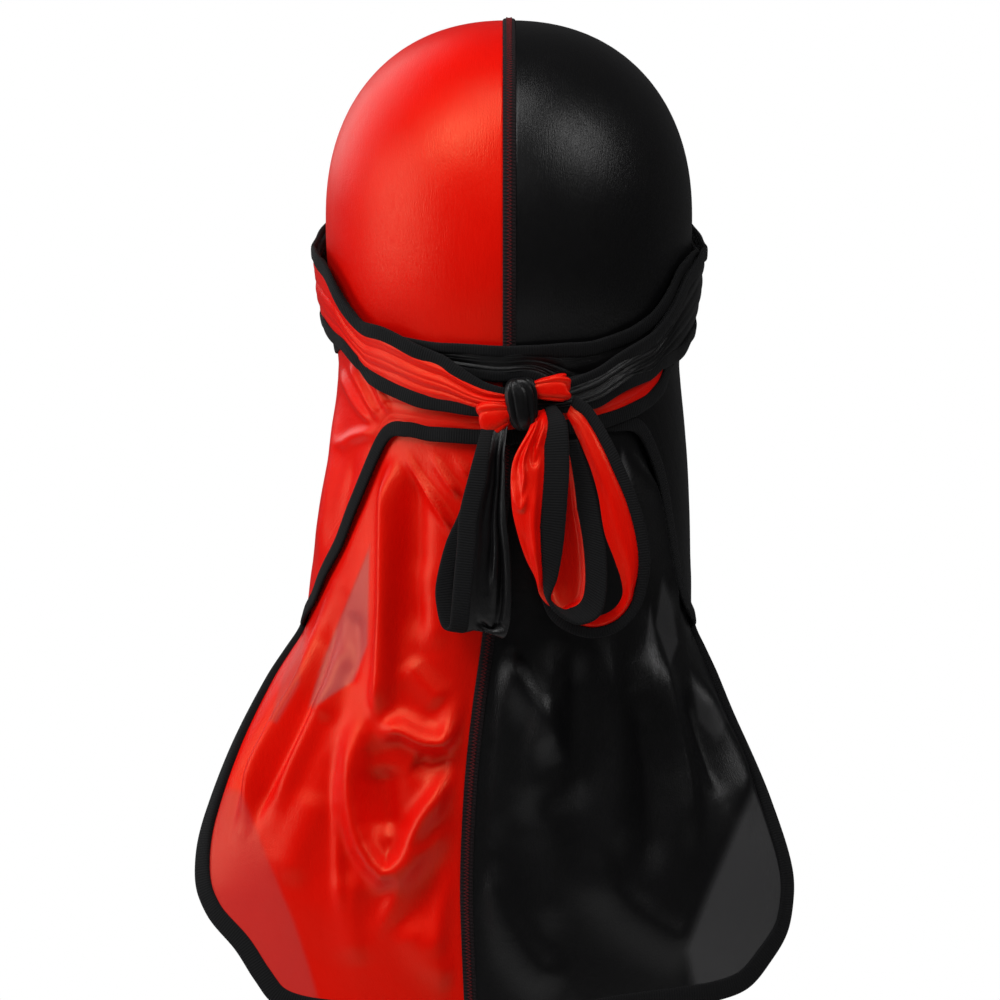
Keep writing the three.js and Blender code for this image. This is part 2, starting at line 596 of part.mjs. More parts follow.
// One strap in three nodes: the gathered cloth and the tape along each of its edges.
function strap(table, mirror, name, finish) {
  const first = table[0].azimuth;
  const last = table[table.length - 1].azimuth;
  const stations = Math.round((last - first) / stationStep);
  const edge = (column, azimuth) => {
    const at = clamp(azimuth, first, last);
    return ringTop(at) + strapWidth * along(table, "azimuth", column, at);
  };
  const place = (column, azimuth) => liftedPoint(mirror * azimuth, edge(column, azimuth), 0);
  // The height that the tape takes up where the edge runs at a slope.
  const tapeHeight = (column, azimuth) => {
    const run = place(column, azimuth + 1).sub(place(column, azimuth - 1));
    return tapeWidth / Math.max(Math.hypot(run.x, run.y) / run.length(), 0.45);
  };
  const shape = (columns, height, lift) =>
    grid(columns, stations, (u, t) => {
      const azimuth = lerp(first, last, t);
      const top = edge("top", azimuth);
      const bottom = edge("bottom", azimuth);
      const layer = firstLayer + layerStep * along(table, "azimuth", "layer", azimuth);
      const fullUpper = tapeHeight("top", azimuth);
      const fullLower = tapeHeight("bottom", azimuth);
      const narrow = Math.min(1, (0.75 * (top - bottom)) / (fullUpper + fullLower));
      const upper = fullUpper * narrow;
      const lower = fullLower * narrow;
      const z = height({ top, bottom, upper, lower, u });
      return liftedPoint(mirror * azimuth, z, layer + lift(u));
    });
  const gathers = 3;
  const leave = 1 + clearance / tapeWidth;
  const cloth = ({ top, bottom, upper, lower, u }) => lerp(top - upper * leave, bottom + lower * leave, u);
  const ripple = (u) => clothWall + gatherDepth * Math.sin(gathers * Math.PI * u) ** 2;
  const clothSheet = closedSheet(shape(2 * gathers, cloth, ripple), shape(2 * gathers, cloth, () => 0));
  addMesh(straps, name, clothSheet, finish);
  const upperTape = ({ top, upper, u }) => top - upper * u;
  const lowerTape = ({ bottom, lower, u }) => bottom + lower * (1 - u);
  for (const [suffix, height] of [["upper_tape", upperTape], ["lower_tape", lowerTape]]) {
    const face = (lift) => shape(1, height, () => lift);
    addMesh(straps, `${name}_${suffix}`, closedSheet(face(tapeWall), face(0)), TAPE);
  }
}
strap(STRAP_LEFT, 1, "strap_left", RED);
strap(STRAP_RIGHT, -1, "strap_right", BLACK);

// The bow hangs from this point, on the outermost straps at the nape.
const strapsAtKnot = 2.4;
bow.position.copy(liftedPoint(knotAzimuth, -knotDrop, firstLayer + strapsAtKnot * layerStep));

// A point of the bow: across is a share of bowSpread, drop of bowDrop and out of bowDepth.
function bowPoint(across, drop, out) {
  return new THREE.Vector3(bowSpread * across, -bowDepth * out, -bowDrop * drop);
}

// The bow's three loops, from the knot down the front, round the bottom and up behind. a is the free edge and b
// the taped one, each as across, drop and out.
const LOOP_FRONT = [
  { ax: 0.07, ad: 0.07, ao: 0.12, bx: 0.25, bd: 0.04, bo: 0.1 },
  { ax: 0.02, ad: 0.14, ao: 0.42, bx: 0.34, bd: 0.11, bo: 0.45 },
  { ax: -0.11, ad: 0.27, ao: 0.6, bx: 0.36, bd: 0.27, bo: 0.62 },
  { ax: -0.12, ad: 0.43, ao: 0.7, bx: 0.34, bd: 0.44, bo: 0.7 },
  { ax: -0.07, ad: 0.56, ao: 0.72, bx: 0.31, bd: 0.61, bo: 0.72 },
  { ax: 0.01, ad: 0.68, ao: 0.68, bx: 0.26, bd: 0.75, bo: 0.74 },
  { ax: 0.12, ad: 0.78, ao: 0.56, bx: 0.2, bd: 0.84, bo: 0.76 },
  { ax: 0.18, ad: 0.82, ao: 0.42, bx: 0.31, bd: 0.91, bo: 0.74 },
  { ax: 0.22, ad: 0.82, ao: 0.3, bx: 0.48, bd: 0.94, bo: 0.7 },
  { ax: 0.23, ad: 0.75, ao: 0.22, bx: 0.64, bd: 0.88, bo: 0.62 },
  { ax: 0.22, ad: 0.6, ao: 0.18, bx: 0.67, bd: 0.68, bo: 0.5 },
  { ax: 0.23, ad: 0.39, ao: 0.15, bx: 0.59, bd: 0.41, bo: 0.38 },
  { ax: 0.26, ad: 0.19, ao: 0.14, bx: 0.43, bd: 0.18, bo: 0.26 },
];
const LOOP_OUTER = [
  { ax: 0.34, ad: 0.08, ao: 0.08, bx: 0.41, bd: 0, bo: 0.12 },
  { ax: 0.41, ad: 0.15, ao: 0.2, bx: 0.55, bd: 0.05, bo: 0.24 },
  { ax: 0.53, ad: 0.29, ao: 0.36, bx: 0.73, bd: 0.2, bo: 0.42 },
  { ax: 0.6, ad: 0.41, ao: 0.44, bx: 0.9, bd: 0.39, bo: 0.46 },
  { ax: 0.65, ad: 0.56, ao: 0.48, bx: 0.99, bd: 0.53, bo: 0.46 },
  { ax: 0.73, ad: 0.67, ao: 0.48, bx: 1.03, bd: 0.65, bo: 0.44 },
  { ax: 0.79, ad: 0.76, ao: 0.44, bx: 1.02, bd: 0.76, bo: 0.4 },
  { ax: 0.8, ad: 0.83, ao: 0.38, bx: 0.95, bd: 0.88, bo: 0.36 },
  { ax: 0.72, ad: 0.89, ao: 0.3, bx: 0.8, bd: 0.97, bo: 0.3 },
  { ax: 0.57, ad: 0.92, ao: 0.22, bx: 0.59, bd: 1.01, bo: 0.24 },
  { ax: 0.42, ad: 0.9, ao: 0.14, bx: 0.37, bd: 0.99, bo: 0.18 },
  { ax: 0.33, ad: 0.84, ao: 0.08, bx: 0.19, bd: 0.92, bo: 0.12 },
  { ax: 0.29, ad: 0.73, ao: 0.05, bx: 0.1, bd: 0.77, bo: 0.07 },
  { ax: 0.29, ad: 0.56, ao: 0.03, bx: 0.07, bd: 0.58, bo: 0.04 },
  { ax: 0.29, ad: 0.39, ao: 0.02, bx: 0.09, bd: 0.39, bo: 0.03 },
  { ax: 0.3, ad: 0.19, ao: 0.01, bx: 0.14, bd: 0.19, bo: 0.02 },
];
const LOOP_LEFT = [
  { ax: -0.14, ad: 0.1, ao: 0.14, bx: -0.35, bd: 0.1, bo: 0.1 },
  { ax: -0.17, ad: 0.21, ao: 0.4, bx: -0.41, bd: 0.21, bo: 0.35 },
  { ax: -0.17, ad: 0.31, ao: 0.48, bx: -0.46, bd: 0.3, bo: 0.45 },
  { ax: -0.16, ad: 0.5, ao: 0.55, bx: -0.55, bd: 0.48, bo: 0.52 },
  { ax: -0.13, ad: 0.64, ao: 0.58, bx: -0.57, bd: 0.61, bo: 0.55 },
  { ax: -0.12, ad: 0.79, ao: 0.55, bx: -0.6, bd: 0.77, bo: 0.52 },
  { ax: -0.13, ad: 0.93, ao: 0.46, bx: -0.62, bd: 0.89, bo: 0.46 },
  { ax: -0.17, ad: 1, ao: 0.36, bx: -0.64, bd: 0.96, bo: 0.36 },
  { ax: -0.22, ad: 0.99, ao: 0.26, bx: -0.7, bd: 0.96, bo: 0.26 },
  { ax: -0.26, ad: 0.89, ao: 0.18, bx: -0.74, bd: 0.89, bo: 0.18 },
  { ax: -0.26, ad: 0.75, ao: 0.13, bx: -0.75, bd: 0.79, bo: 0.13 },
  { ax: -0.24, ad: 0.59, ao: 0.1, bx: -0.67, bd: 0.62, bo: 0.09 },
  { ax: -0.22, ad: 0.44, ao: 0.07, bx: -0.55, bd: 0.48, bo: 0.06 },
  { ax: -0.21, ad: 0.29, ao: 0.05, bx: -0.44, bd: 0.29, bo: 0.05 },
  { ax: -0.19, ad: 0.15, ao: 0.04, bx: -0.31, bd: 0.15, bo: 0.04 },
];

// One loop in two nodes: its cloth and the tape along its edge b.
function loop(name, table, steps, finish) {
  const last = table.length - 1;
  const edge = (k, at) =>
    bowPoint(...["x", "d", "o"].map((c) => along(table, "row", k + c, clamp(at, 0, last))));
  const spot = (u, at) => edge("a", at).lerp(edge("b", at), u);
  const place = (u, at, lift) => {
    const down = spot(u, Math.min(at + 0.1, last)).sub(spot(u, Math.max(at - 0.1, 0)));
    const acrossIt = edge("b", at).sub(edge("a", at));
    return spot(u, at).addScaledVector(down.cross(acrossIt).normalize(), lift);
  };
  const tapeShare = (at) => Math.min(tapeWidth / edge("a", at).distanceTo(edge("b", at)), 0.42);
  const gap = (at) => (3 * clearance) / edge("a", at).distanceTo(edge("b", at));
  const clothShare = (at) => 1 - tapeShare(at) - gap(at);
  const cloth = (lift) => grid(4, steps, (u, t) => place(u * clothShare(t * last), t * last, lift));
  const tape = (lift) => grid(1, steps, (u, t) => place(1 - tapeShare(t * last) * (1 - u), t * last, lift));
  addMesh(bow, name, closedSheet(cloth(clothWall / 2), cloth(-clothWall / 2)), finish);
  addMesh(bow, `${name}_tape`, closedSheet(tape(tapeWall / 2), tape(-tapeWall / 2)), TAPE);
}
loop("bow_loop_front", LOOP_FRONT, 22, RED);
loop("bow_loop_outer", LOOP_OUTER, 22, RED);
loop("bow_loop_left", LOOP_LEFT, 22, BLACK);

// A wad of gathered cloth: a rounded cushion turned by tilt degrees. wide and tall are shares of half the
// knot's height, and deep of half its depth.
function wad(name, centre, { wide, tall, deep, tilt }, finish) {
  const half = { x: (wide * knotHeight) / 2, y: (deep * knotDepth) / 2, z: (tall * knotHeight) / 2 };
  const rounds = 12;
  const rings = 6;
  const positions = [];
  const triangles = [];
  const soft = (v) => Math.sign(v) * Math.abs(v) ** 0.75;
  const turn = radians(tilt);
  const push = (x, y, z) =>
    positions.push(
      centre.x + x * Math.cos(turn) - z * Math.sin(turn),
      centre.y + y,
      centre.z + x * Math.sin(turn) + z * Math.cos(turn),
    );
  for (let i = 0; i < rings; i++) {
    const a = ((i + 0.5) / rings - 0.5) * Math.PI;
    for (let j = 0; j < rounds; j++) {
      const b = (2 * Math.PI * j) / rounds;
      const crease = 1 - 0.07 * Math.cos(4 * b);
      push(
        half.x * crease * soft(Math.cos(a)) * soft(Math.cos(b)),
        half.y * crease * soft(Math.cos(a)) * soft(Math.sin(b)),
        half.z * soft(Math.sin(a)),
      );
    }
  }
  push(0, 0, -half.z);
  push(0, 0, half.z);
  const at = (i, j) => i * rounds + (j % rounds);
  for (let j = 0; j < rounds; j++) {
    triangles.push(rings * rounds, at(0, j), at(0, j + 1));
    triangles.push(rings * rounds + 1, at(rings - 1, j + 1), at(rings - 1, j));
    for (let i = 0; i < rings - 1; i++) {
      triangles.push(at(i, j), at(i + 1, j), at(i + 1, j + 1), at(i, j), at(i + 1, j + 1), at(i, j + 1));
    }
  }
  addMesh(bow, name, facingOut(positions, triangles), finish);
}
wad("knot_wrap", bowPoint(-0.03, 0.01, 0.17), { wide: 0.55, tall: 1, deep: 1.1, tilt: 4 }, BLACK);
wad("knot_tuck_left", bowPoint(-0.24, 0.04, 0.15), { wide: 0.55, tall: 0.58, deep: 0.52, tilt: 20 }, RED);
wad("knot_tuck_right", bowPoint(0.21, -0.07, 0.08), { wide: 0.6, tall: 0.46, deep: 0.52, tilt: 8 }, RED);

export default durag;
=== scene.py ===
# %% [markdown]
# # A two-colour satin durag, tied
# A durag is a close cap of two satin panels with a raised seam between them, a long cape behind and two
# long straps that wrap the head and tie in a bow at the nape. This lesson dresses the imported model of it.
# Every piece is a surface worked out with numpy: a function of two parameters on a grid, so that one
# formula gives the place, the folds and the finish's coordinates together.

import math

import bmesh
import bpy
import numpy as np
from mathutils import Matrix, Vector


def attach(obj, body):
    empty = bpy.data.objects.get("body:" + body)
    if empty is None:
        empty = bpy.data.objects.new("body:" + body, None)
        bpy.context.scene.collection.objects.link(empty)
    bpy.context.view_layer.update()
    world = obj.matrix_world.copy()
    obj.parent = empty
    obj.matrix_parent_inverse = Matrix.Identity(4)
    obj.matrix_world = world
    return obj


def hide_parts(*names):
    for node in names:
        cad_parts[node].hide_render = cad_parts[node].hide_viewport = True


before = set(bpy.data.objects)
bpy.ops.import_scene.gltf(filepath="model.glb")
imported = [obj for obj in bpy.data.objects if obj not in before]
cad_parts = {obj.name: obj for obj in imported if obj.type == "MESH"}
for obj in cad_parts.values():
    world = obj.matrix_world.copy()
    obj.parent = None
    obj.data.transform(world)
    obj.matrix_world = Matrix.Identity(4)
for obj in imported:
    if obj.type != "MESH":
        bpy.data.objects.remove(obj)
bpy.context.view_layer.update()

# %% [markdown]
# ## Camera, floor and light
# The photograph looks at the back of the head from just above. The camera goes first, so that each later
# step can be seen at once. Satin shows its light as long soft bands, so six soft boxes stand round it: a
# tall one far left with one above it, one on the right, one overhead, a weak one in front, and one behind
# on the left that lights the edge.

# %% The camera
TARGET = Vector((-0.0039, 0.0, -0.2085))
ELEVATION = math.radians(5)
DISTANCE = 1.7
LENS = 139.1
camera = bpy.data.objects.new("camera", bpy.data.cameras.new("camera"))
bpy.context.scene.collection.objects.link(camera)
bpy.context.scene.camera = camera
camera.data.sensor_width = 36
camera.data.lens = LENS
camera.location = TARGET + DISTANCE * Vector((0, -math.cos(ELEVATION), math.sin(ELEVATION)))
camera.rotation_euler = (math.pi / 2 - ELEVATION, 0, 0)
bpy.context.scene.view_settings.view_transform = "Standard"
print("camera", [round(v, 3) for v in camera.location])


# %% The soft boxes
def soft_box(name, place, size, power):
    """A rectangular light at a place, turned to face the middle of the durag."""
    light = bpy.data.lights.new(name, "AREA")
    light.shape = "RECTANGLE"
    light.size, light.size_y = size
    light.energy = power
    box = bpy.data.objects.new(name, light)
    bpy.context.scene.collection.objects.link(box)
    box.location = place
    box.rotation_euler = (TARGET - Vector(place)).to_track_quat("-Z", "Y").to_euler()
    return box


soft_box("box_left", (-1.7, -0.3, 0.12), (0.8, 1.1), 13)
soft_box("box_upper_left", (-0.95, -0.95, 1.05), (0.6, 0.7), 17)
soft_box("box_right", (1.1, -0.75, 0.85), (0.5, 0.7), 8.5)
soft_box("box_front", (-0.1, -1.9, 0.6), (0.8, 0.6), 1.5)
soft_box("box_top", (-0.15, -0.7, 1.35), (0.7, 0.7), 9.5)
soft_box("box_behind", (-1.1, 1.3, 0.6), (1.2, 1.2), 5)

# %% [markdown]
# The room is white. The floor is a wide pale disc well under the durag, because a head, which isn't
# modelled, holds it up.

# %% The room and the floor
world = bpy.data.worlds.new("white_room")
bpy.context.scene.world = world
world.use_nodes = True
room = world.node_tree
background = room.nodes["Background"]
background.inputs["Color"].default_value = (1, 1, 1, 1)
background.inputs["Strength"].default_value = 0.05
shown = room.nodes.new("ShaderNodeBackground")
shown.inputs["Color"].default_value = (1, 1, 1, 1)
shown.inputs["Strength"].default_value = 1.0
rays = room.nodes.new("ShaderNodeLightPath")
choice = room.nodes.new("ShaderNodeMixShader")
room.links.new(rays.outputs["Is Camera Ray"], choice.inputs[0])
room.links.new(background.outputs[0], choice.inputs[1])
room.links.new(shown.outputs[0], choice.inputs[2])
room.links.new(choice.outputs[0], room.nodes["World Output"].inputs[0])
print("room", world.name)


# %% [markdown]
# ## Writing finishes as sums
# A finish is a small program of nodes. Wrapping a socket in a class lets `1 - mask` or `a * b + c` add the
# Math nodes, which reads better than linking each by hand. All other nodes come from one method.

# %% The two classes
class Wire:
    """A socket's value in a finish. Sums on it add Math nodes."""

    def __init__(self, finish, socket):
        self.finish = finish
        self.socket = socket

    def math(self, operation, *others):
        return self.finish.node("Math", {"operation": operation}, [self, *others])

    def __add__(self, other):
        return self.math("ADD", other)

    def __sub__(self, other):
        return self.math("SUBTRACT", other)

    def __mul__(self, other):
        return self.math("MULTIPLY", other)

    def __rsub__(self, other):
        return self.finish.node("Math", {"operation": "SUBTRACT"}, [other, self])

    def clip(self):
        return self.finish.node("Math", {"operation": "ADD", "use_clamp": True}, [self, 0.0])


class Finish:
    """A material that is built from nodes."""

    def __init__(self, name):
        self.material = bpy.data.materials.new(name)
        self.material.use_nodes = True
        self.tree = self.material.node_tree
        self.tree.nodes.clear()

    def put(self, socket, value):
        if isinstance(value, Wire):
            self.tree.links.new(value.socket, socket)
        else:
            socket.default_value = value

    def node(self, kind, settings=None, values=(), output=0):
        """A node of a kind, its settings first and then its sockets, by place in a list or by name."""
        made = self.tree.nodes.new(f"ShaderNode{kind}")
        for key, value in (settings or {}).items():
            setattr(made, key, value)
        pairs = values.items() if isinstance(values, dict) else enumerate(values)
        for key, value in pairs:
            self.put(made.inputs[key], value)
        return Wire(self, made.outputs[output])

    def mix(self, share, first, second):
        """A colour from first to second."""
        made = self.tree.nodes.new("ShaderNodeMix")
        made.data_type = "RGBA"
        self.put(made.inputs["Factor"], share)
        self.put(made.inputs[6], first)
        self.put(made.inputs[7], second)
        return Wire(self, made.outputs[2])

    def close(self, constants, **linked):
        """The shader and the output. Constants are set on the shader's own sockets."""
        shader = self.tree.nodes.new("ShaderNodeBsdfPrincipled")
        for key, value in {**constants, **linked}.items():
            self.put(shader.inputs[key.replace("_", " ")], value)
        out = self.tree.nodes.new("ShaderNodeOutputMaterial")
        self.tree.links.new(shader.outputs[0], out.inputs[0])
        return self.material


print("finish classes ready")


# %% [markdown]
# ## Satin
# Satin is woven with long floats that lie side by side, so it is smooth and glossy along them, with faint
# streaks. It could be an anisotropic shader, but the export keeps only the plain sockets, so the streaks
# are a stretched noise on the piece's own UV map, in millimetres, that moves the colour, the gloss and the
# bump a little. The single layer at the cape's rim lets light through: that mask is an attribute of the
# mesh, which makes the cloth a little transparent there and paints the light that shines through into the
# colour.

# %% Satin in two colours
def satin(name, deep, bright, painted_backlight, constants):
    """Streaks are noise squeezed across the floats. The colour goes from deep to bright with them and
    with a slow noise. Where the mask says the cloth is a single layer with light behind it, the colour goes
    to painted backlight, a paler colour painted for the light that shines through, and the alpha lets a
    little real light through."""
    f = Finish(name)
    place = f.node("TexCoord", output=3)
    spread = f.node("UVMap", {"uv_map": "spread"})
    streak_place = f.node("Mapping", {}, {"Vector": spread, "Scale": (2.2, 0.16, 1.0)})
    streaks = f.node("TexNoise", {}, {"Vector": streak_place, "Scale": 1.0, "Detail": 3.0, "Roughness": 0.6})
    slow = f.node("TexNoise", {}, {"Vector": place, "Scale": 22.0, "Detail": 2.0})
    creases = f.node("TexNoise", {}, {"Vector": place, "Scale": 60.0, "Detail": 4.0, "Distortion": 0.8})
    mask = f.node("Attribute", {"attribute_name": "sheer_and_backlight"}, output=2)
    tone = (streaks * 0.45 + slow * 0.75 - 0.1).clip()
    # Where the mask is high the colour goes to painted light: a pale colour for the light that shines
    # through the single layer from behind.
    colour = f.mix(mask, f.mix(tone, deep, bright), painted_backlight)
    weave_place = f.node("Mapping", {}, {"Vector": spread, "Scale": (2.6, 1.1, 1.0)})
    weave = f.node("TexNoise", {}, {"Vector": weave_place, "Scale": 1.0, "Detail": 2.0})
    rough = streaks * 0.12 + creases * 0.1 + 0.22
    relief = streaks * 0.6 + creases * 0.9 + weave * 0.55
    bump = f.node("Bump", {}, {"Strength": 0.34, "Distance": 0.0006, "Height": relief})
    return f.close(constants, Base_Color=colour, Roughness=rough, Alpha=1.0 - mask * 0.22, Normal=bump)


# The third colour of each satin is painted light: the pale colour of the single layer lit from behind.
RED_SATIN = satin(
    "red_satin", (0.60, 0.0014, 0.0004, 1), (0.84, 0.0035, 0.0008, 1), (0.5, 0.04, 0.035, 1),
    {"Specular IOR Level": 0.44, "Specular Tint": (1, 0.46, 0.2, 1), "Sheen Weight": 0.01,
     "Sheen Roughness": 0.4, "Sheen Tint": (1, 0.3, 0.25, 1)},
)
BLACK_SATIN = satin(
    "black_satin", (0.002, 0.002, 0.0022, 1), (0.0045, 0.0043, 0.0047, 1), (0.03, 0.029, 0.031, 1),
    {"Specular IOR Level": 0.24, "Sheen Weight": 0.008, "Sheen Roughness": 0.4,
     "Sheen Tint": (0.9, 0.9, 1, 1)},
)
print("satin", RED_SATIN.name, BLACK_SATIN.name)


# %% [markdown]
# ## Knitted binding and thread
# The edges are bound with a matte knitted tape, with fine ribs across it about a millimetre apart. The
# ribs are a sine of the distance along the tape, which the UV map holds in millimetres, so they follow
# every bend. The colour is darker in the ribs' valleys, which is painted shade.

# %% Binding and thread
def ribbed(name, shaded_valley, light, pitch, strength):
    """Ribs are a sine of the way along, broken up by a fine noise. They move colour, roughness and bump,
    and the colour is darker in the rib valleys as painted shade.
    """
    f = Finish(name)
    spread = f.node("UVMap", {"uv_map": "spread"})
    along_it = f.node("SeparateXYZ", {}, [spread], output=1)
    wave = (along_it * (2 * math.pi / pitch)).math("SINE") * 0.5 + 0.5
    fuzz = f.node("TexNoise", {}, {"Vector": spread, "Scale": 2.4, "Detail": 3.0, "Roughness": 0.7})
    relief = wave * 0.7 + fuzz * 0.6
    bump = f.node("Bump", {}, {"Strength": strength, "Distance": 0.0004, "Height": relief})
    # The colour follows the relief: darker in the rib valleys as painted shade, and varied at random by the
    # noise.
    return f.close(
        {"Specular IOR Level": 0.14, "Sheen Weight": 0.02, "Sheen Roughness": 0.5},
        Base_Color=f.mix((relief * 0.8).clip(), shaded_valley, light), Roughness=fuzz * 0.15 + 0.74, Normal=bump,
    )


# The first colour of each is that of the rib valleys, partly painted shade.
KNIT_TAPE = ribbed("knit_tape", (0.0016, 0.0016, 0.0018, 1), (0.0068, 0.0068, 0.0076, 1), 1.1, 0.5)
SEAM_BAND = ribbed("seam_band", (0.004, 0.003, 0.003, 1), (0.018, 0.010, 0.012, 1), 1.5, 0.8)
SEAM_THREAD = ribbed("seam_thread", (0.05, 0.003, 0.004, 1), (0.15, 0.014, 0.016, 1), 0.5, 0.4)

# %% The floor
pale = Finish("pale_floor")
grain = pale.node("TexNoise", {}, {"Scale": 9.0, "Detail": 2.0})
floor_colour = pale.mix(grain, (0.80, 0.80, 0.80, 1), (0.84, 0.84, 0.84, 1))
pale.close({"Roughness": 0.7, "Specular IOR Level": 0.2, "Emission Strength": 0.25,
            "Emission Color": (1, 1, 1, 1)}, Base_Color=floor_colour)
FLOOR_HEIGHT, FLOOR_RADIUS, FLOOR_SIDES = -1.3, 2.6, 96
ring = np.linspace(0, 2 * np.pi, FLOOR_SIDES, endpoint=False)
disc = bpy.data.meshes.new("floor")
rim = np.stack([FLOOR_RADIUS * np.cos(ring), FLOOR_RADIUS * np.sin(ring), 0 * ring + FLOOR_HEIGHT], -1)
disc.from_pydata(rim.tolist(), [], [list(range(FLOOR_SIDES))])
floor = bpy.data.objects.new("floor", disc)
bpy.context.scene.collection.objects.link(floor)
disc.materials.append(pale.material)
print("floor at", FLOOR_HEIGHT)

# %% [markdown]
# ## The named sizes
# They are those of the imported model, in millimetres, so every surface here lies where its solid lies.

# %% Sizes
HEAD_WIDTH, HEAD_BACK, HEAD_FRONT = 158, 92, 96
CROWN_RISE, NAPE_REACH, NAPE_START, NAPE_END = 85, 112, 40, 60
ROUNDNESS = 2.23
TAPE_WIDTH, CLEARANCE = 9, 0.3
CLOTH_WALL, TAPE_WALL = 1, 1.2
SEAM_WIDTH, SEAM_RISE = 6.4, 0.5
RING_BACK, RING_FRONT, STRAP_WIDTH = 136, 60, 34
CAPE_TOP = RING_BACK + 0.35 * STRAP_WIDTH
CAPE_LENGTH, FLARE_LEFT, FLARE_RIGHT = 284, 68, 51
SEAM_SHIFT, SWEEP = 18, 36
FOLD_AZIMUTH, FOLD_WIDTH, FOLD_FREE = 96, 10, 25
BOW_DROP, BOW_SPREAD, BOW_DEPTH = 100, 50, 24
KNOT_AZIMUTH, KNOT_DROP = 5, RING_BACK + 0.6 * STRAP_WIDTH
KNOT_HEIGHT, KNOT_DEPTH = 19, 10
LAYER_STEP = TAPE_WALL + 2 * CLEARANCE
FIRST_LAYER = CLOTH_WALL + SEAM_RISE + 3 * CLEARANCE
TEMPLE_AZIMUTH = 150
LEFT, RIGHT = -1, 1
SHEET_WALL, TAPE_THICK = 0.45, 2.0
print("cape top", CAPE_TOP, "first layer", FIRST_LAYER)


# %% [markdown]
# Short tables hold how a shape runs. A table is a column of numbers for each name, and `along` reads one
# column at any key on a smooth curve through its rows.

# %% Tables
def table(columns, *rows):
    """Named columns from rows of numbers, with one more for the row's own number."""
    named = {name: np.array(values, float) for name, values in zip(columns.split(), zip(*rows))}
    return {"row": np.arange(len(rows), dtype=float), **named}


def along(rows, key, column, at):
    """The cubic through the rows whose slope at each row is that of the chord between its neighbours."""
    x, y = rows[key], rows[column]
    last = len(x) - 1
    at = np.clip(at, x[0], x[-1])
    a = np.clip(np.searchsorted(x, at) - 1, 0, last - 1)
    before, b, after = np.maximum(a - 1, 0), a + 1, np.minimum(a + 2, last)
    span = x[b] - x[a]
    t = (at - x[a]) / span
    slope_a = (y[b] - y[before]) / (x[b] - x[before]) * span
    slope_b = (y[after] - y[a]) / (x[after] - x[a]) * span
    t2, t3 = t * t, t * t * t
    return (
        (2 * t3 - 3 * t2 + 1) * y[a] + (t3 - 2 * t2 + t) * slope_a
        + (3 * t2 - 2 * t3) * y[b] + (t3 - t2) * slope_b
    )


CAPE = table(
    "drop left right seam sweep",
    (0.0, 0.0, 0.0, 0.0, 0.0), (0.11, 0.06, 0.09, 0.05, 0.0), (0.21, 0.14, 0.13, 0.18, 0.06),
    (0.32, 0.21, 0.15, 0.35, 0.15), (0.41, 0.28, 0.18, 0.52, 0.27), (0.49, 0.49, 0.38, 0.7, 0.45),
    (0.58, 0.71, 0.6, 0.86, 0.66), (0.66, 0.87, 0.83, 0.95, 0.84), (0.74, 1.0, 1.02, 1.0, 0.96),
    (0.8, 1.06, 1.09, 1.0, 1.0), (1.02, 1.06, 1.09, 0.86, 1.0),
)
print("cape rows", len(CAPE["row"]))

# %% [markdown]
# ## The form under the cloth
# The head is a stack of ellipses whose size follows a rounded curve. Below the ears it stops narrowing,
# because the cape hangs free there, and the cape's own flare, shift and sweep are added. A place is an
# azimuth round the head, from the back and positive to the wearer's right, and a height.


# %% Head and cape
def unit(v):
    """The vector divided by its length."""
    return v / np.maximum(np.linalg.norm(v, axis=-1, keepdims=True), 1e-9)


def head_fall(z):
    """How far z lies under the middle of the head, run out smoothly below the ears, and its slope."""
    fall = -z - CROWN_RISE
    left = np.exp(np.minimum((NAPE_START - fall) / (NAPE_END - NAPE_START), 0))
    free = NAPE_END + (NAPE_START - NAPE_END) * left
    return np.where(fall < NAPE_START, fall, free), np.where(fall < NAPE_START, 1.0, left)


def head_share(z):
    """(1 - |fall / reach| ^ m) ^ (1 / m), the share of the full width that the head has at z."""
    fall, _ = head_fall(z)
    reach = np.where(fall < 0, CROWN_RISE, NAPE_REACH)
    return (1 - np.minimum(np.abs(fall) / reach, 0.9999) ** ROUNDNESS) ** (1 / ROUNDNESS)


def section(z, side):
    """The seam's x, the centre's y, the half width and the depths behind and in front, at z on a side."""
    share = head_share(z)
    drop = np.maximum(0, (-CAPE_TOP - z) / CAPE_LENGTH)
    left = FLARE_LEFT * along(CAPE, "drop", "left", drop)
    right = FLARE_RIGHT * along(CAPE, "drop", "right", drop)
    seam_x = -SEAM_SHIFT * along(CAPE, "drop", "seam", drop)
    centre_y = -SWEEP * along(CAPE, "drop", "sweep", drop)
    half = HEAD_WIDTH / 2 * share + np.where(np.asarray(side) < 0, left, right) - side * seam_x
    return seam_x, centre_y, half, HEAD_BACK * share + centre_y, HEAD_FRONT * share - centre_y


def form_point(azimuth, z):
    """x = seam + half sin a and y = centre - depth cos a, on the ellipse of that height."""
    azimuth, z = np.broadcast_arrays(np.asarray(azimuth, float), np.asarray(z, float))
    a = np.radians(azimuth)
    seam_x, centre_y, half, back, front = section(z, np.where(np.sin(a) < 0, LEFT, RIGHT))
    depth = np.where(np.cos(a) > 0, back, front)
    return np.stack([seam_x + half * np.sin(a), centre_y - depth * np.cos(a), z], -1)


def normal_at(azimuth, z):
    """The cross product of the way round and the way up."""
    step = 0.5
    across = form_point(azimuth + step, z) - form_point(azimuth - step, z)
    up = form_point(azimuth, z + step) - form_point(azimuth, z - step)
    return unit(np.cross(across, up))


def lifted(azimuth, z, lift):
    """The form's point moved out along its normal."""
    azimuth, z, lift = np.broadcast_arrays(*(np.asarray(v, float) for v in (azimuth, z, lift)))
    return form_point(azimuth, z) + normal_at(azimuth, z) * lift[..., None]


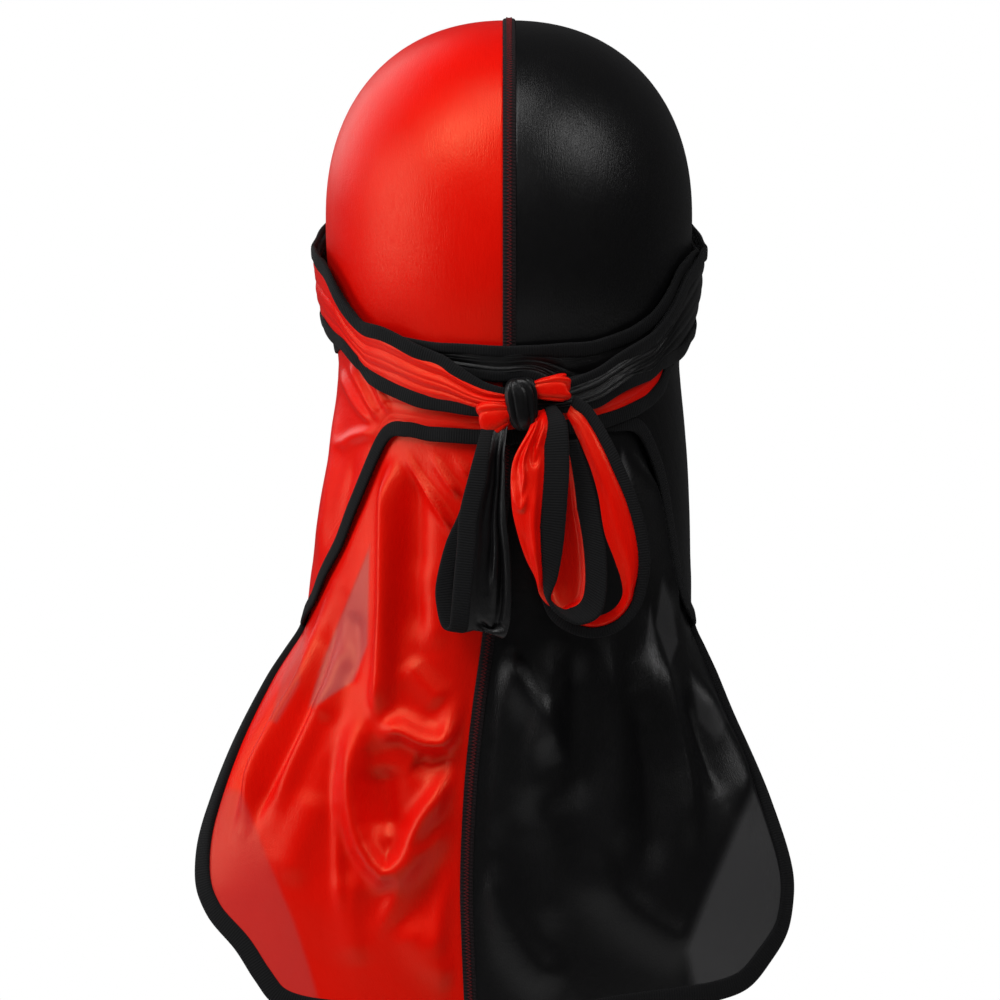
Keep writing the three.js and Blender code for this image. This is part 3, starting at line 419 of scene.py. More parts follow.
def azimuth_of(point):
    """The azimuth of a point that lies on the form."""
    x, y, z = np.moveaxis(point, -1, 0)
    seam_x = section(z, LEFT)[0]
    _, centre_y, half, back, front = section(z, np.where(x < seam_x, LEFT, RIGHT))
    return np.degrees(np.arctan2((x - seam_x) / half, (centre_y - y) / np.where(y < centre_y, back, front)))


print("half width at the ears", round(float(section(np.array(-85.0), LEFT)[2]), 1))


# %% [markdown]
# The crown is read the other way, by direction from the middle of the head, because near the top an
# azimuth says little. The size along a direction is found by halving.

# %% Crown
def crown_point(direction, lift):
    """The point where a ray from the middle of the head meets the form, moved out along the normal."""
    depth = np.where(direction[..., 1] < 0, HEAD_BACK, HEAD_FRONT)
    flat = np.hypot(direction[..., 0] / (HEAD_WIDTH / 2), direction[..., 1] / depth)
    inside = np.zeros(direction.shape[:-1])
    outside = np.full(direction.shape[:-1], 2.0 * NAPE_REACH)
    for _ in range(40):
        size = (inside + outside) / 2
        z = size * direction[..., 2] - CROWN_RISE
        within = (z < 0) & (flat * size < head_share(z))
        inside = np.where(within, size, inside)
        outside = np.where(within, outside, size)
    point = direction * inside[..., None] - np.array([0, 0, CROWN_RISE])
    fall, slope = head_fall(point[..., 2])
    reach = np.where(fall < 0, CROWN_RISE, NAPE_REACH)
    m = ROUNDNESS
    rise = head_share(point[..., 2]) ** (2 - m) * np.abs(fall) ** (m - 1) * slope / reach**m
    flat_x = point[..., 0] / (HEAD_WIDTH / 2) ** 2
    normal = unit(np.stack([flat_x, point[..., 1] / depth**2, -np.sign(fall) * rise], -1))
    return point + normal * np.broadcast_to(lift, fall.shape)[..., None]


def direction_of(point):
    """The direction of a point from the middle of the head."""
    return unit(point + np.array([0, 0, CROWN_RISE]))


RING = table(
    "azimuth share", (0, 1.0), (16, 0.985), (30, 0.965), (48, 0.85), (56, 0.72), (64, 0.58), (74, 0.515),
    (92, 0.475), (120, 0.28), (150, 0.08), (180, 0.0),
)
CROWN_EDGE = table("azimuth below", (FOLD_AZIMUTH, 0.5), (120, 0.75), (150, 0.85), (180, 0.88))


def ring_top(azimuth):
    """The height of the strap ring's upper edge round the head."""
    turned = np.abs((np.asarray(azimuth, float) + 540) % 360 - 180)
    return -(RING_FRONT + (RING_BACK - RING_FRONT) * along(RING, "azimuth", "share", turned))


def crown_edge(azimuth):
    """The height of the crown's lower edge under the straps."""
    return ring_top(azimuth) - STRAP_WIDTH * along(CROWN_EDGE, "azimuth", "below", azimuth)


TUCK = 2.2


def crown_direction(side, across, back, tuck=TUCK):
    """The great circle from the seam over the side of the head to the crown's edge."""
    front_z, back_z = crown_edge(180.0), ring_top(0.0) - STRAP_WIDTH / 2
    front_turn = np.arctan2(front_z + CROWN_RISE, form_point(180.0, front_z)[1])
    back_turn = np.arctan2(back_z + CROWN_RISE, form_point(0.0, back_z)[1]) + 2 * np.pi
    turn = front_turn + (back_turn - front_turn) * back
    on_seam = crown_point(np.stack([0 * turn, np.cos(turn), np.sin(turn)], -1), 0)
    on_seam[..., 0] = side * tuck
    start = direction_of(on_seam)
    edge = TEMPLE_AZIMUTH + (FOLD_AZIMUTH - TEMPLE_AZIMUTH) * back
    end = direction_of(form_point(side * edge, crown_edge(edge)))
    angle = np.arccos(np.clip((start * end).sum(-1), -1, 1))
    return unit(start * np.sin((1 - across) * angle)[..., None] + end * np.sin(across * angle)[..., None])


print("brow height", round(float(crown_edge(180.0)), 1))

# %% [markdown]
# ## From arrays to meshes
# One function takes a grid of points in millimetres, its UV map in millimetres and its masks, and makes
# the mesh in metres. A sheet gets its thickness from a Solidify modifier. A tape is a closed tube with a
# rounded section.


# %% Meshes
def surface(name, points, spread, finish, nodes=(), wall=None, closed=False, sheer_and_backlight=None):
    """A grid of points as a mesh of squares with smooth faces. A closed grid joins its last column to its
    first, and its poles are welded."""
    rows, columns = points.shape[:2]
    i, j = np.meshgrid(np.arange(rows - 1), np.arange(columns if closed else columns - 1), indexing="ij")
    over = (j + 1) % columns
    here, below = i * columns, (i + 1) * columns
    faces = np.stack([here + j, here + over, below + over, below + j], -1)
    mesh = bpy.data.meshes.new(name)
    mesh.from_pydata((points.reshape(-1, 3) * 0.001).tolist(), [], faces.reshape(-1, 4).tolist())
    corners = np.stack([spread[i, j], spread[i, j + 1], spread[i + 1, j + 1], spread[i + 1, j]], -2)
    layer = mesh.uv_layers.new(name="spread")
    layer.data.foreach_set("uv", corners.reshape(-1).astype(np.float32))
    # The mask of the single layer lit from behind: the finish makes the cloth a little transparent there and
    # paints the light that shines through it into the colour.
    if sheer_and_backlight is not None:
        mask = mesh.attributes.new("sheer_and_backlight", "FLOAT", "POINT")
        values = np.broadcast_to(np.clip(sheer_and_backlight, 0, 1), (rows, columns))
        mask.data.foreach_set("value", values.reshape(-1).astype(np.float32))
    if closed:
        welded = bmesh.new()
        welded.from_mesh(mesh)
        bmesh.ops.remove_doubles(welded, verts=welded.verts, dist=1e-8)
        welded.to_mesh(mesh)
        welded.free()
    mesh.polygons.foreach_set("use_smooth", np.ones(len(mesh.polygons), bool))
    mesh.materials.append(finish)
    piece = bpy.data.objects.new(name, mesh)
    bpy.context.scene.collection.objects.link(piece)
    if wall:
        thicken = piece.modifiers.new("wall", "SOLIDIFY")
        thicken.thickness = wall * 0.001
        thicken.offset = -1
    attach(piece, "root")
    if nodes:
        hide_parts(*nodes)
    return piece


def walked(line):
    """The way walked along a line of points, in millimetres."""
    return np.concatenate([[0], np.cumsum(np.linalg.norm(np.diff(line, axis=0), axis=-1))])


def lengths(points, axis):
    """The way walked along an axis of a grid, in millimetres, averaged over the other axis."""
    step = np.linalg.norm(np.diff(points, axis=axis), axis=-1).mean(1 - axis)
    return np.concatenate([[0], np.cumsum(step)])


def spread_of(points):
    """A UV map in millimetres: the ways walked across and down the grid."""
    across, down = np.meshgrid(lengths(points, 1), lengths(points, 0))
    return np.stack([across, down], -1)


def tube(name, first, second, normals, thick, nodes=(), finish=KNIT_TAPE, sides=18, puff=0.6):
    """A tape between two edges: across its middle line a rounded section, cos and sin raised to a power
    below 1, shrunk to a point at both ends. Its thickness is one number, or one for each place along
    it."""
    thick = np.broadcast_to(np.asarray(thick, float), len(first))
    thick = np.concatenate([thick[[0] * 3], thick, thick[[-1] * 3]])[:, None, None]
    ends = np.array([0.0, 0.5, 0.85])
    first, second, normals = (np.concatenate([v[[0] * 3], v, v[[-1] * 3]]) for v in (first, second, normals))
    share = np.concatenate([ends, np.ones(len(first) - 6), ends[::-1]])[:, None, None]
    turn = np.linspace(0, 2 * np.pi, sides, endpoint=False)
    c, s = np.cos(turn), np.sin(turn)
    c, s = np.sign(c) * np.abs(c) ** puff, np.sign(s) * np.abs(s) ** puff
    middle, half = (first + second) / 2, (second - first) / 2
    swing = half[:, None] * c[:, None] + normals[:, None] * (thick / 2) * s[:, None]
    points = middle[:, None] + share * swing
    area = np.cross(np.roll(points, -1, 1) - points, np.roll(points, -1, 0) - points)
    if (area[3:-3] * (points - middle[:, None])[3:-3]).sum() < 0:
        points = points[:, ::-1]
    across, down = np.meshgrid(np.linspace(0, 2 * TAPE_WIDTH, sides + 1), walked(middle))
    return surface(name, points, np.stack([across, down], -1), finish, nodes, closed=True)


print("mesh helpers ready")

# %% [markdown]
# ## Straps
# Each strap starts at the side fold, where the panel's edge turns back over itself as a flap, narrows into
# gathers at the nape, runs round the head once and comes back to the knot. Its path is a table by azimuth:
# its two edges in strap widths from the ring, and the layer it lies in. The same table gives the cloth,
# the two tapes and the place where the cape's folds must stop.

# %% The straps' paths
STRAP_LEFT = table(
    "azimuth top bottom layer",
    (-97.5, -1.22, -4.95, 0), (-86, -1.16, -4.86, 0), (-76, -1.05, -4.6, 0), (-66, -0.85, -4.1, 0),
    (-57, -0.64, -3.3, 0), (-50, -0.54, -2.45, 0), (-42, -0.46, -1.5, 0), (-34, -0.45, -1.29, 0),
    (-25, -0.44, -1.26, 0), (-10, -0.5, -1.25, 0.3), (3, -0.52, -1.22, 1), (20, -0.42, -1.14, 1),
    (34, -0.3, -1.14, 1),
    (48, -0.25, -1.2, 1), (60, -0.2, -1.36, 1), (75, -0.08, -1.15, 1), (110, -0.06, -0.92, 1),
    (135, 0, -0.9, 1), (150, 0, -0.5, 1), (180, 0, -0.48, 1), (195, 0, -0.48, 1.3), (205, 0, -0.48, 2),
    (225, 0, -0.9, 2), (255, 0, -0.98, 2), (280, 0.03, -1.0, 2), (292, -0.05, -1.08, 2),
    (305, -0.13, -0.92, 2), (320, 0.04, -0.84, 2), (339, -0.12, -0.86, 2.2), (352.5, -0.43, -0.88, 3),
    (362, -0.52, -0.8, 3.1),
)
STRAP_RIGHT = table(
    "azimuth top bottom layer",
    (-97.5, -0.02, -4.95, 0), (-86, 0, -4.85, 0), (-76, 0, -4.6, 0), (-66, 0, -4.15, 0), (-59, 0, -3.2, 0),
    (-52, 0, -2.1, 0), (-45, 0, -1.45, 0), (-34, 0, -1.22, 0), (-22, 0, -1.05, 0), (-8, 0, -0.48, 0),
    (5, 0, -0.46, 0), (20, 0, -0.4, 0.3), (32, 0, -0.4, 1), (48, -0.1, -0.6, 1), (60, -0.2, -0.85, 1),
    (75, -0.08, -0.92, 1), (110, -0.06, -0.9, 1), (135, -0.1, -0.98, 1), (150, -0.52, -1.0, 1),
    (180, -0.52, -1.0, 1), (195, -0.52, -1.0, 1.3), (205, -0.52, -1.0, 2), (225, 0, -0.98, 2),
    (255, 0, -1.0, 2), (280, 0.03, -1.15, 2), (294, -0.1, -1.25, 2), (305, -0.2, -0.95, 2),
    (320, -0.18, -0.76, 2), (334, -0.34, -0.85, 2.3), (345, -0.48, -0.86, 3), (354, -0.5, -0.82, 3.1),
)
print("strap rows", len(STRAP_LEFT["row"]), len(STRAP_RIGHT["row"]))


# %% Folds drawn as strokes
def seen(px, py):
    """The x and z, on a plane through the cape, of a place in the photograph."""
    return 4.4 + (np.asarray(px, float) - 520) * 0.414, -258.1 + (640 - np.asarray(py, float)) * 0.4155


def stroke(x, z, path, height, inner, outer, ends=0.25, steps=18):
    """A ridge along a smooth path of (x, z): height times exp(-(d / w)^2), where d is the distance to
    the path and w its width on the side that d lies on, run out over a share of the path at each
    end."""
    rows = table("x z", *path)
    at = np.linspace(0, len(path) - 1, steps + 1)
    line = np.stack([along(rows, "row", "x", at), along(rows, "row", "z", at)], -1)
    a, d = line[:-1], np.diff(line, axis=0)
    gap_x, gap_z = x[..., None] - a[:, 0], z[..., None] - a[:, 1]
    t = np.clip((gap_x * d[:, 0] + gap_z * d[:, 1]) / (d**2).sum(-1), 0, 1)
    away = np.hypot(gap_x - t * d[:, 0], gap_z - t * d[:, 1])
    nearest = away.argmin(-1)[..., None]
    pick = lambda v: np.take_along_axis(np.broadcast_to(v, away.shape), nearest, -1)[..., 0]
    turned = pick(d[:, 0] * gap_z - d[:, 1] * gap_x)
    share = (pick(t) + nearest[..., 0]) / steps
    wide = np.where(turned > 0, inner, outer)
    run_out = np.clip(np.minimum(share, 1 - share) / ends, 0, 1)
    run_out = 0.12 + 0.88 * run_out * run_out * (3 - 2 * run_out)
    return height * run_out * np.exp(-((pick(away) / wide) ** 2))


def fold(height, inner, outer, *path, ends=0.25):
    """A stroke's height, its two widths, its path and the share that it runs out over."""
    return dict(path=path, height=height, inner=inner, outer=outer, ends=ends)


def drawn(x, z, folds):
    """The sum of the strokes whose paths are places in the photograph."""
    return sum(stroke(x, z, **{**one, "path": list(zip(*seen(*zip(*one["path"]))))}) for one in folds)


print("a fold's foot in mm", [round(float(v), 1) for v in seen(372, 700)])

# %% [markdown]
# ## The cape's folds
# The cape hangs from the nape in a few large folds: a long ridge down from the corner of each flap, a swag
# that sags between them, and fine pulls beside the binding. A cloth simulation would fold it somewhere
# else than the photograph shows, so each fold is drawn as a stroke with its own height and two widths. The
# wider side is the soft one, and the narrow side is the crisp one.

# %% The folds, each as a path in the photograph
FOLDS_LEFT = [
    fold(9.0, 4.2, 3.8, (398, 446), (393, 500), (391, 570), (388, 640), (382, 700), (375, 740)),
    fold(-4.0, 5.5, 5.0, (412, 456), (414, 520), (416, 600), (418, 655)),
    fold(4.4, 1.5, 2.0, (400, 446), (418, 480), (440, 512), (460, 545)),
    fold(3.6, 1.4, 1.9, (424, 442), (442, 474), (464, 504)),
    fold(2.6, 1.3, 1.7, (448, 442), (458, 462), (472, 484)),
    fold(9.0, 4.6, 6.5, (372, 705), (356, 755), (350, 802), (358, 850), (382, 882), (404, 866),
         (416, 836), (438, 802), (462, 778), ends=0.2),
    fold(7.5, 6.0, 3.4, (374, 752), (398, 739), (425, 749), (450, 744), (474, 700)),
    fold(2.4, 5.0, 7.0, (404, 668), (425, 690), (446, 712)),
    fold(-4.4, 7.0, 6.0, (380, 772), (384, 812), (386, 850)),
    fold(-3.2, 5.0, 5.0, (412, 766), (430, 774), (456, 764)),
    fold(-2.0, 5.0, 5.0, (340, 742), (333, 800), (346, 860), (380, 900)),
    fold(-3.6, 2.6, 3.4, (340, 610), (322, 668), (300, 728), (280, 772), (258, 815), (246, 850)),
    fold(5.0, 3.2, 3.0, (332, 600), (306, 680), (272, 745), (248, 795), (238, 850)),
    fold(-2.8, 2.0, 2.4, (322, 600), (292, 690), (262, 742), (236, 795), (222, 858)),
    fold(4.0, 4.0, 3.4, (330, 690), (312, 735), (292, 778), (268, 838)),
    fold(3.2, 4.0, 3.4, (345, 655), (330, 700), (322, 740)),
    fold(1.8, 2.6, 2.6, (335, 778), (335, 860), (338, 932)),
    fold(3.2, 6.0, 4.0, (461, 828), (430, 856), (404, 890), (374, 957)),
    fold(3.0, 6.0, 6.0, (466, 880), (446, 920), (432, 975)),
    fold(2.2, 7.0, 9.0, (316, 800), (296, 850), (280, 905)),
    fold(3.0, 8.0, 8.0, (400, 930), (428, 968), (462, 998)),
    fold(2.0, 5.0, 7.0, (352, 880), (348, 930), (356, 985)),
    fold(-2.6, 4.0, 4.0, (350, 620), (352, 660), (346, 700)),
    fold(1.8, 6.0, 5.0, (420, 560), (425, 610), (440, 660)),
]
FOLDS_RIGHT = [
    fold(5.0, 3.2, 6.0, (628, 430), (650, 480), (664, 545), (676, 600), (690, 665)),
    fold(-3.2, 6.0, 6.0, (612, 440), (632, 500), (640, 580), (650, 660)),
    fold(4.2, 7.0, 7.0, (560, 640), (550, 700), (534, 770), (530, 840)),
    fold(4.4, 5.0, 8.0, (498, 650), (520, 690), (545, 728), (560, 775)),
    fold(4.2, 6.0, 8.0, (600, 630), (612, 720), (618, 810), (612, 900)),
    fold(4.4, 4.4, 6.0, (650, 640), (672, 720), (690, 800), (694, 880)),
    fold(-3.4, 7.0, 7.0, (575, 650), (582, 740), (574, 830)),
    fold(-3.6, 6.0, 6.0, (640, 700), (655, 800), (655, 900)),
    fold(4.0, 3.0, 4.6, (700, 690), (722, 740), (744, 790), (756, 840)),
    fold(-2.8, 3.4, 3.4, (690, 700), (708, 760), (728, 820)),
    fold(3.4, 7.0, 11.0, (484, 860), (500, 920), (532, 975), (570, 1000)),
    fold(3.4, 8.0, 12.0, (585, 850), (620, 910), (668, 950), (700, 960)),
    fold(2.2, 7.0, 7.0, (545, 800), (552, 870), (548, 960)),
    fold(2.2, 6.0, 6.0, (492, 640), (500, 720), (496, 800), (486, 870)),
]
print("folds", len(FOLDS_LEFT), "red", len(FOLDS_RIGHT), "black")


# %% How far the cape stands off its form
def smooth(low, high, v):
    """0 below low, 1 above high, and 3 t^2 - 2 t^3 between them."""
    t = np.clip((v - low) / (high - low), 0, 1)
    return t * t * (3 - 2 * t)


def cape_rise(side, point):
    """The sum of the strokes and of slow waves, run out beside the seam, under the straps and under the
    flaps."""
    x, z = point[..., 0], point[..., 2]
    azimuth = np.abs(azimuth_of(point))
    path = STRAP_LEFT if side < 0 else STRAP_RIGHT
    flap = ring_top(azimuth) + STRAP_WIDTH * along(path, "azimuth", "bottom", -azimuth)
    seam_x = section(z, side)[0]
    from_seam = smooth(0, 1, (side * (x - seam_x) - SEAM_WIDTH / 2) / FOLD_WIDTH)
    from_straps = smooth(0, 1, (-z - CAPE_TOP - STRAP_WIDTH * 0.82) / FOLD_FREE)
    from_flap = smooth(0, 1, (flap - z) / (FOLD_FREE * 0.4))
    rise = drawn(x, z, FOLDS_LEFT if side < 0 else FOLDS_RIGHT)
    slow = 0.7 * np.sin(x / 11.0 + 1.7 * np.sin(z / 31.0)) * np.sin(z / 23.0 + 0.8 * np.sin(x / 17.0))
    return (rise + slow + 0.7) * from_seam * from_straps * from_flap


EDGE_LEFT = table(
    "azimuth drop", (96, 0.41), (90, 0.5), (83, 0.6), (78, 0.7), (71, 0.77), (63, 0.825), (53, 0.87),
    (47, 0.915), (42, 0.95), (34.5, 0.967), (22, 0.975), (10, 0.99), (1.9, 1.0),
)
EDGE_RIGHT = table(
    "azimuth drop", (96, 0.41), (90, 0.5), (84, 0.6), (80, 0.7), (78, 0.78), (74, 0.85), (64, 0.9),
    (56, 0.935), (47, 0.95), (39, 0.955), (24.5, 0.965), (10, 0.985), (1.6, 1.0),
)
EDGE_END = len(EDGE_LEFT["row"]) - 1
EDGE_CORNER = 2 * EDGE_END / 3


def cape_edge(side, at, inset, lift):
    """A point of the free edge moved in across the cloth. Past the seam the edge runs on as its mirror
    image. The second value is the outward normal there."""
    rows = EDGE_LEFT if side < 0 else EDGE_RIGHT

    def place(k):
        before = np.minimum(k, 2 * EDGE_END - k)
        turned = along(rows, "row", "azimuth", before)
        turned = np.where(k > EDGE_END, 2 * rows["azimuth"][-1] - turned, turned)
        return side * turned, -CAPE_TOP - CAPE_LENGTH * along(rows, "row", "drop", before)

    azimuth, z = place(at)
    run = unit(form_point(*place(at + 0.05)) - form_point(*place(np.maximum(at - 0.05, 0))))
    normal = normal_at(azimuth, z)
    flat = form_point(azimuth, z) - side * unit(np.cross(normal, run)) * np.asarray(inset, float)[..., None]
    return flat + normal * (lift + cape_rise(side, flat))[..., None], normal


HEM = cape_edge(LEFT, np.array([EDGE_END * 1.0]), np.zeros(1), 0.0)[0][0, 2]
print("hem at", round(float(HEM), 1))


# %% [markdown]
# ## The two panels
# One panel is cut in one piece: half of the crown and half of the cape. The crown's rows are great circles
# from the seam to the edge. The cape's are a Coons patch: four border curves, blended so that the sheet
# meets all of them. Both are one grid here, so no seam shows where they meet.

# %% Panels
def cape_place(side, across, down):
    """(1 - v) top + v bottom + (1 - u) seam + u side - the bilinear mix of the corners, in azimuth and
    height."""
    inset = TAPE_WIDTH * 0.5

    def edge_place(at):
        point = cape_edge(side, at, np.full(at.shape, inset), 0.0)[0]
        return np.stack([np.abs(azimuth_of(point)), point[..., 2]])

    one = np.ones(1)
    top_point = crown_point(crown_direction(side, across, np.ones_like(across)), 0)
    top = np.stack([np.abs(azimuth_of(top_point)), top_point[..., 2]])
    top_z = crown_point(crown_direction(side, one, one), 0)[0, 2]
    foot = -CAPE_TOP - CAPE_LENGTH * EDGE_LEFT["drop"][0]
    fold_share = 0.4
    below = edge_place(np.maximum(down - fold_share, 0) / (1 - fold_share) * EDGE_CORNER)
    t = np.minimum(down / fold_share, 1)
    fold = np.stack([FOLD_AZIMUTH + (below[0] - FOLD_AZIMUTH) * t**20,
                     top_z + (np.minimum(below[1], foot) - top_z) * t])
    outer = np.where(down >= fold_share, below, fold)
    bottom = edge_place(EDGE_END - across * (EDGE_END - EDGE_CORNER))
    seam_top = crown_point(crown_direction(side, 0 * one, one), 0)[0, 2]
    seam_z = seam_top + (bottom[1, 0] - seam_top) * down
    seam = np.stack([np.degrees(np.arcsin(TUCK / section(seam_z, side)[2])), seam_z])
    u, w = across[None, :], down[:, None]
    corners = (top[:, 0], np.array([FOLD_AZIMUTH, top_z]), bottom[:, 0], outer[:, -1])
    a, b, c, d = (v[:, None, None] for v in corners)
    return (
        (1 - w) * top[:, None, :] + w * bottom[:, None, :]
        + (1 - u) * seam[:, :, None] + u * outer[:, :, None]
        - ((1 - w) * ((1 - u) * a + u * b) + w * ((1 - u) * c + u * d))
    )


def sheer_and_backlight_mask(side, point):
    """The strength where a single layer has light behind it: within the polygons, with soft edges. The
    finish makes the cloth a little transparent there and paints the light through it as a paler colour.
    """
    x, z = point[..., 0], point[..., 2]
    mask = np.zeros(x.shape)
    for strength, soft, corners in SHEER_AND_BACKLIGHT_LEFT if side < 0 else SHEER_AND_BACKLIGHT_RIGHT:
        cx, cz = seen(*np.array(corners, float).T)
        turned = np.sign((np.roll(cx, 1) * cz - cx * np.roll(cz, 1)).sum())
        inside = np.full(x.shape, 1.0)
        for k in range(len(cx)):
            ex, ez = cx[k] - cx[k - 1], cz[k] - cz[k - 1]
            away = ((x - cx[k - 1]) * ez - (z - cz[k - 1]) * ex) / math.hypot(ex, ez)
            inside = np.minimum(inside, smooth(-soft, soft, -turned * away))
        mask = np.maximum(mask, inside * strength)
    return mask * (point[..., 1] < 0)


# The places where the single layer is lit from behind. The finish paints the light that shines through as a
# paler colour there.
SHEER_AND_BACKLIGHT_LEFT = [
    (0.85, 0.8, [(366, 556), (343, 612), (318, 672), (303, 722), (350, 692), (364, 655)]),
    (0.4, 1.5, [(234, 812), (247, 842), (262, 876), (286, 930), (304, 985), (314, 1020), (180, 1020),
                (180, 812)]),
    (0.55, 1.2, [(296, 655), (272, 700), (262, 736), (270, 738), (292, 700)]),
]
SHEER_AND_BACKLIGHT_RIGHT = [
    (0.6, 0.8, [(625, 455), (621, 490), (626, 520), (638, 520), (634, 480)]),
    (0.4, 0.8, [(668, 590), (661, 640), (676, 680), (686, 660), (680, 620)]),
    (0.5, 0.8, [(655, 620), (650, 660), (660, 692), (666, 680)]),
    (0.35, 0.8, [(698, 690), (706, 740), (724, 760), (738, 740)]),
    (0.6, 3.0, [(768, 800), (742, 850), (716, 905), (690, 968), (700, 1010), (830, 1010), (830, 800)]),
]


def panel(side, node, finish):
    """The crown's rows and the cape's rows as one grid, lifted by the cloth and by the folds."""
    columns, crown_rows, cape_rows = 150, 92, 178
    across = np.linspace(0, 1, columns + 1)
    u, v = np.meshgrid(across, np.linspace(0, 1, crown_rows + 1))
    crown = crown_point(crown_direction(side, u, v), CLOTH_WALL)
    azimuth, z = cape_place(side, across, np.linspace(0, 1, cape_rows + 1))
    rise = cape_rise(side, form_point(side * azimuth, z))
    cape = lifted(side * azimuth, z, CLOTH_WALL + rise)
    points = np.concatenate([crown, cape[1:]])
    middle = points.mean((0, 1)) * np.array([0, 0, 1])
    if (np.cross(points[1:, :-1] - points[:-1, :-1], points[:-1, 1:] - points[:-1, :-1])
            * (points[:-1, :-1] - middle) * np.array([1, 1, 0])).sum() > 0:
        points = points[:, ::-1]
    return surface(f"{node}_cloth", points, spread_of(points), finish, (node,), SHEET_WALL,
                   sheer_and_backlight=sheer_and_backlight_mask(side, points))


cloth_left = panel(LEFT, "panel_left", RED_SATIN)
cloth_right = panel(RIGHT, "panel_right", BLACK_SATIN)
print("panels", [len(p.data.polygons) for p in (cloth_left, cloth_right)])


# %% [markdown]
# ## The centre seam
# The panels are joined face to face and overlocked, which leaves a raised ribbed band on the outside, with
# the thread's zigzag along its middle. The band is a tube, and the thread is a second, thin tube whose
# path swings from side to side over it.

# %% The seam band
def seam_line(x, steps_crown=150, steps_cape=260):
    """The line at x beside the middle, from the brow over the crown and down the cape."""
    v = np.linspace(0, 1, steps_crown + 1)
    direction = crown_direction(RIGHT, 0 * v, v)
    start = crown_point(direction, 0)
    start[:, 0] = x
    crown = crown_point(direction_of(start), CLOTH_WALL)
    z = np.linspace(crown[-1, 2], HEM, steps_cape + 1)
    side = LEFT if x < 0 else RIGHT
    azimuth = np.degrees(np.arcsin(abs(x) / section(z, side)[2]))
    return np.concatenate([crown, lifted(side * azimuth, z, CLOTH_WALL)[1:]])


SEAM_HALF = 2.7
seam_left, seam_right = seam_line(-SEAM_HALF), seam_line(SEAM_HALF)
seam_run = np.gradient((seam_left + seam_right) / 2, axis=0)
seam_normal = unit(np.cross(seam_right - seam_left, -seam_run))
seam_band = tube("centre_seam_band", seam_left, seam_right, seam_normal, TAPE_THICK, ("centre_seam",),
                 SEAM_BAND, sides=16, puff=0.8)


# %% The seam's thread
def thread(name, middle, across, normal, pitch, swing, thick):
    """A thin tube whose centre goes from side to side as a triangle wave of the way along."""
    way = walked(middle)
    at = np.arange(0.5, way[-1] - 0.5, pitch / 6)
    read = lambda v: np.stack([np.interp(at, way, v[:, k]) for k in range(3)], -1)
    phase = at / pitch % 1
    wave = np.abs(4 * phase - 2) - 1
    lift = 0.18 * np.cos(4 * np.pi * phase)
    centre = read(middle) + read(across) * (swing * wave)[:, None] + read(normal) * lift[:, None]
    run = unit(np.gradient(centre, axis=0))
    side = unit(np.cross(run, read(normal)))
    turn = np.linspace(0, 2 * np.pi, 6, endpoint=False)
    up = np.cross(side, run)
    size = thick * np.concatenate([[0], np.ones(len(at) - 2), [0]])[:, None, None]
    round_it = side[:, None] * np.cos(turn)[:, None] + up[:, None] * np.sin(turn)[:, None]
    points = centre[:, None] + size * round_it
    over, down = np.meshgrid(np.linspace(0, 1, 7), at)
    return surface(name, points, np.stack([over, down], -1), SEAM_THREAD, closed=True)


seam_across = unit(seam_right - seam_left)
seam_middle = (seam_left + seam_right) / 2 + seam_normal * 1.05
seam_thread = thread("centre_seam_thread", seam_middle, seam_across, seam_normal, pitch=1.5, swing=1.1,
                     thick=0.17)
print("seam", len(seam_band.data.polygons), "thread", len(seam_thread.data.polygons))

# %% [markdown]
# ## Binding on the brow and round the cape
# A tape is folded over each raw edge. It is a closed tube with a flat rounded section, and it rides on the
# same folds as the cloth that it binds.


# %% The tapes of the body
def brow_line(drop, steps=160):
    """The crown's front edge from temple to temple, drop millimetres lower."""
    t = np.linspace(-1, 1, steps + 1)
    points = []
    for side in (LEFT, RIGHT):
        half = np.abs(t[t <= 0] if side < 0 else t[t > 0])
        points.append(crown_point(crown_direction(side, half, 0 * half, 0.0), 0))
    edge = np.concatenate(points)
    azimuth, z = azimuth_of(edge), edge[:, 2] - drop
    return lifted(azimuth, z, TAPE_WALL / 2), normal_at(azimuth, z)


brow_upper, brow_normal = brow_line(-0.8)
brow_lower, _ = brow_line(TAPE_WIDTH + 0.4)
front_tape = tube("front_binding", brow_upper, brow_lower, brow_normal, TAPE_THICK, ("front_tape",))


def cape_tape(side, name, node, steps=420):
    """The tape between the free edge and a line one tape width inside it."""
    at = np.linspace(0, EDGE_END, steps + 1)
    inner, _ = cape_edge(side, at, np.full(at.shape, TAPE_WIDTH * 1.0), CLOTH_WALL / 2)
    outer, normal = cape_edge(side, at, np.zeros(at.shape), CLOTH_WALL / 2)
    thick = 1.9 + 4.2 * (1 - smooth(0, 6.0, at))
    return tube(name, outer, inner, normal, thick, (node,))


tape_left = cape_tape(LEFT, "cape_binding_left", "cape_tape_left")
tape_right = cape_tape(RIGHT, "cape_binding_right", "cape_tape_right")
print("bindings", len(front_tape.data.polygons), len(tape_left.data.polygons), len(tape_right.data.polygons))


# %% [markdown]
# ## The straps' gathers
# Where a wide cloth is drawn into a narrow strap it gathers: rounded ridges with sharp valleys between
# them, which run with the strap and fan out over the flap. Each ridge is 1 - |cos| of the place across,
# drifting slowly along the strap, and ridges of several widths are added. They grow where the strap is
# narrow.

# %% Gathers
def gathers(u, t, counts, seed):
    """The mean of rounded ridges |sin(pi (count u + drift))| ^ 0.8, each with its own drift along t."""
    total = 0
    weight = 0
    for k, count in enumerate(counts):
        drift = 0.35 * np.sin(2 * np.pi * (1.3 + 0.7 * k) * t + seed + 2.1 * k) + 0.37 * k + 0.61 * seed
        share = 1 / (1 + 0.55 * k)
        total = total + share * np.abs(np.sin(np.pi * (count * u + drift))) ** 0.8
        weight += share
    return total / weight


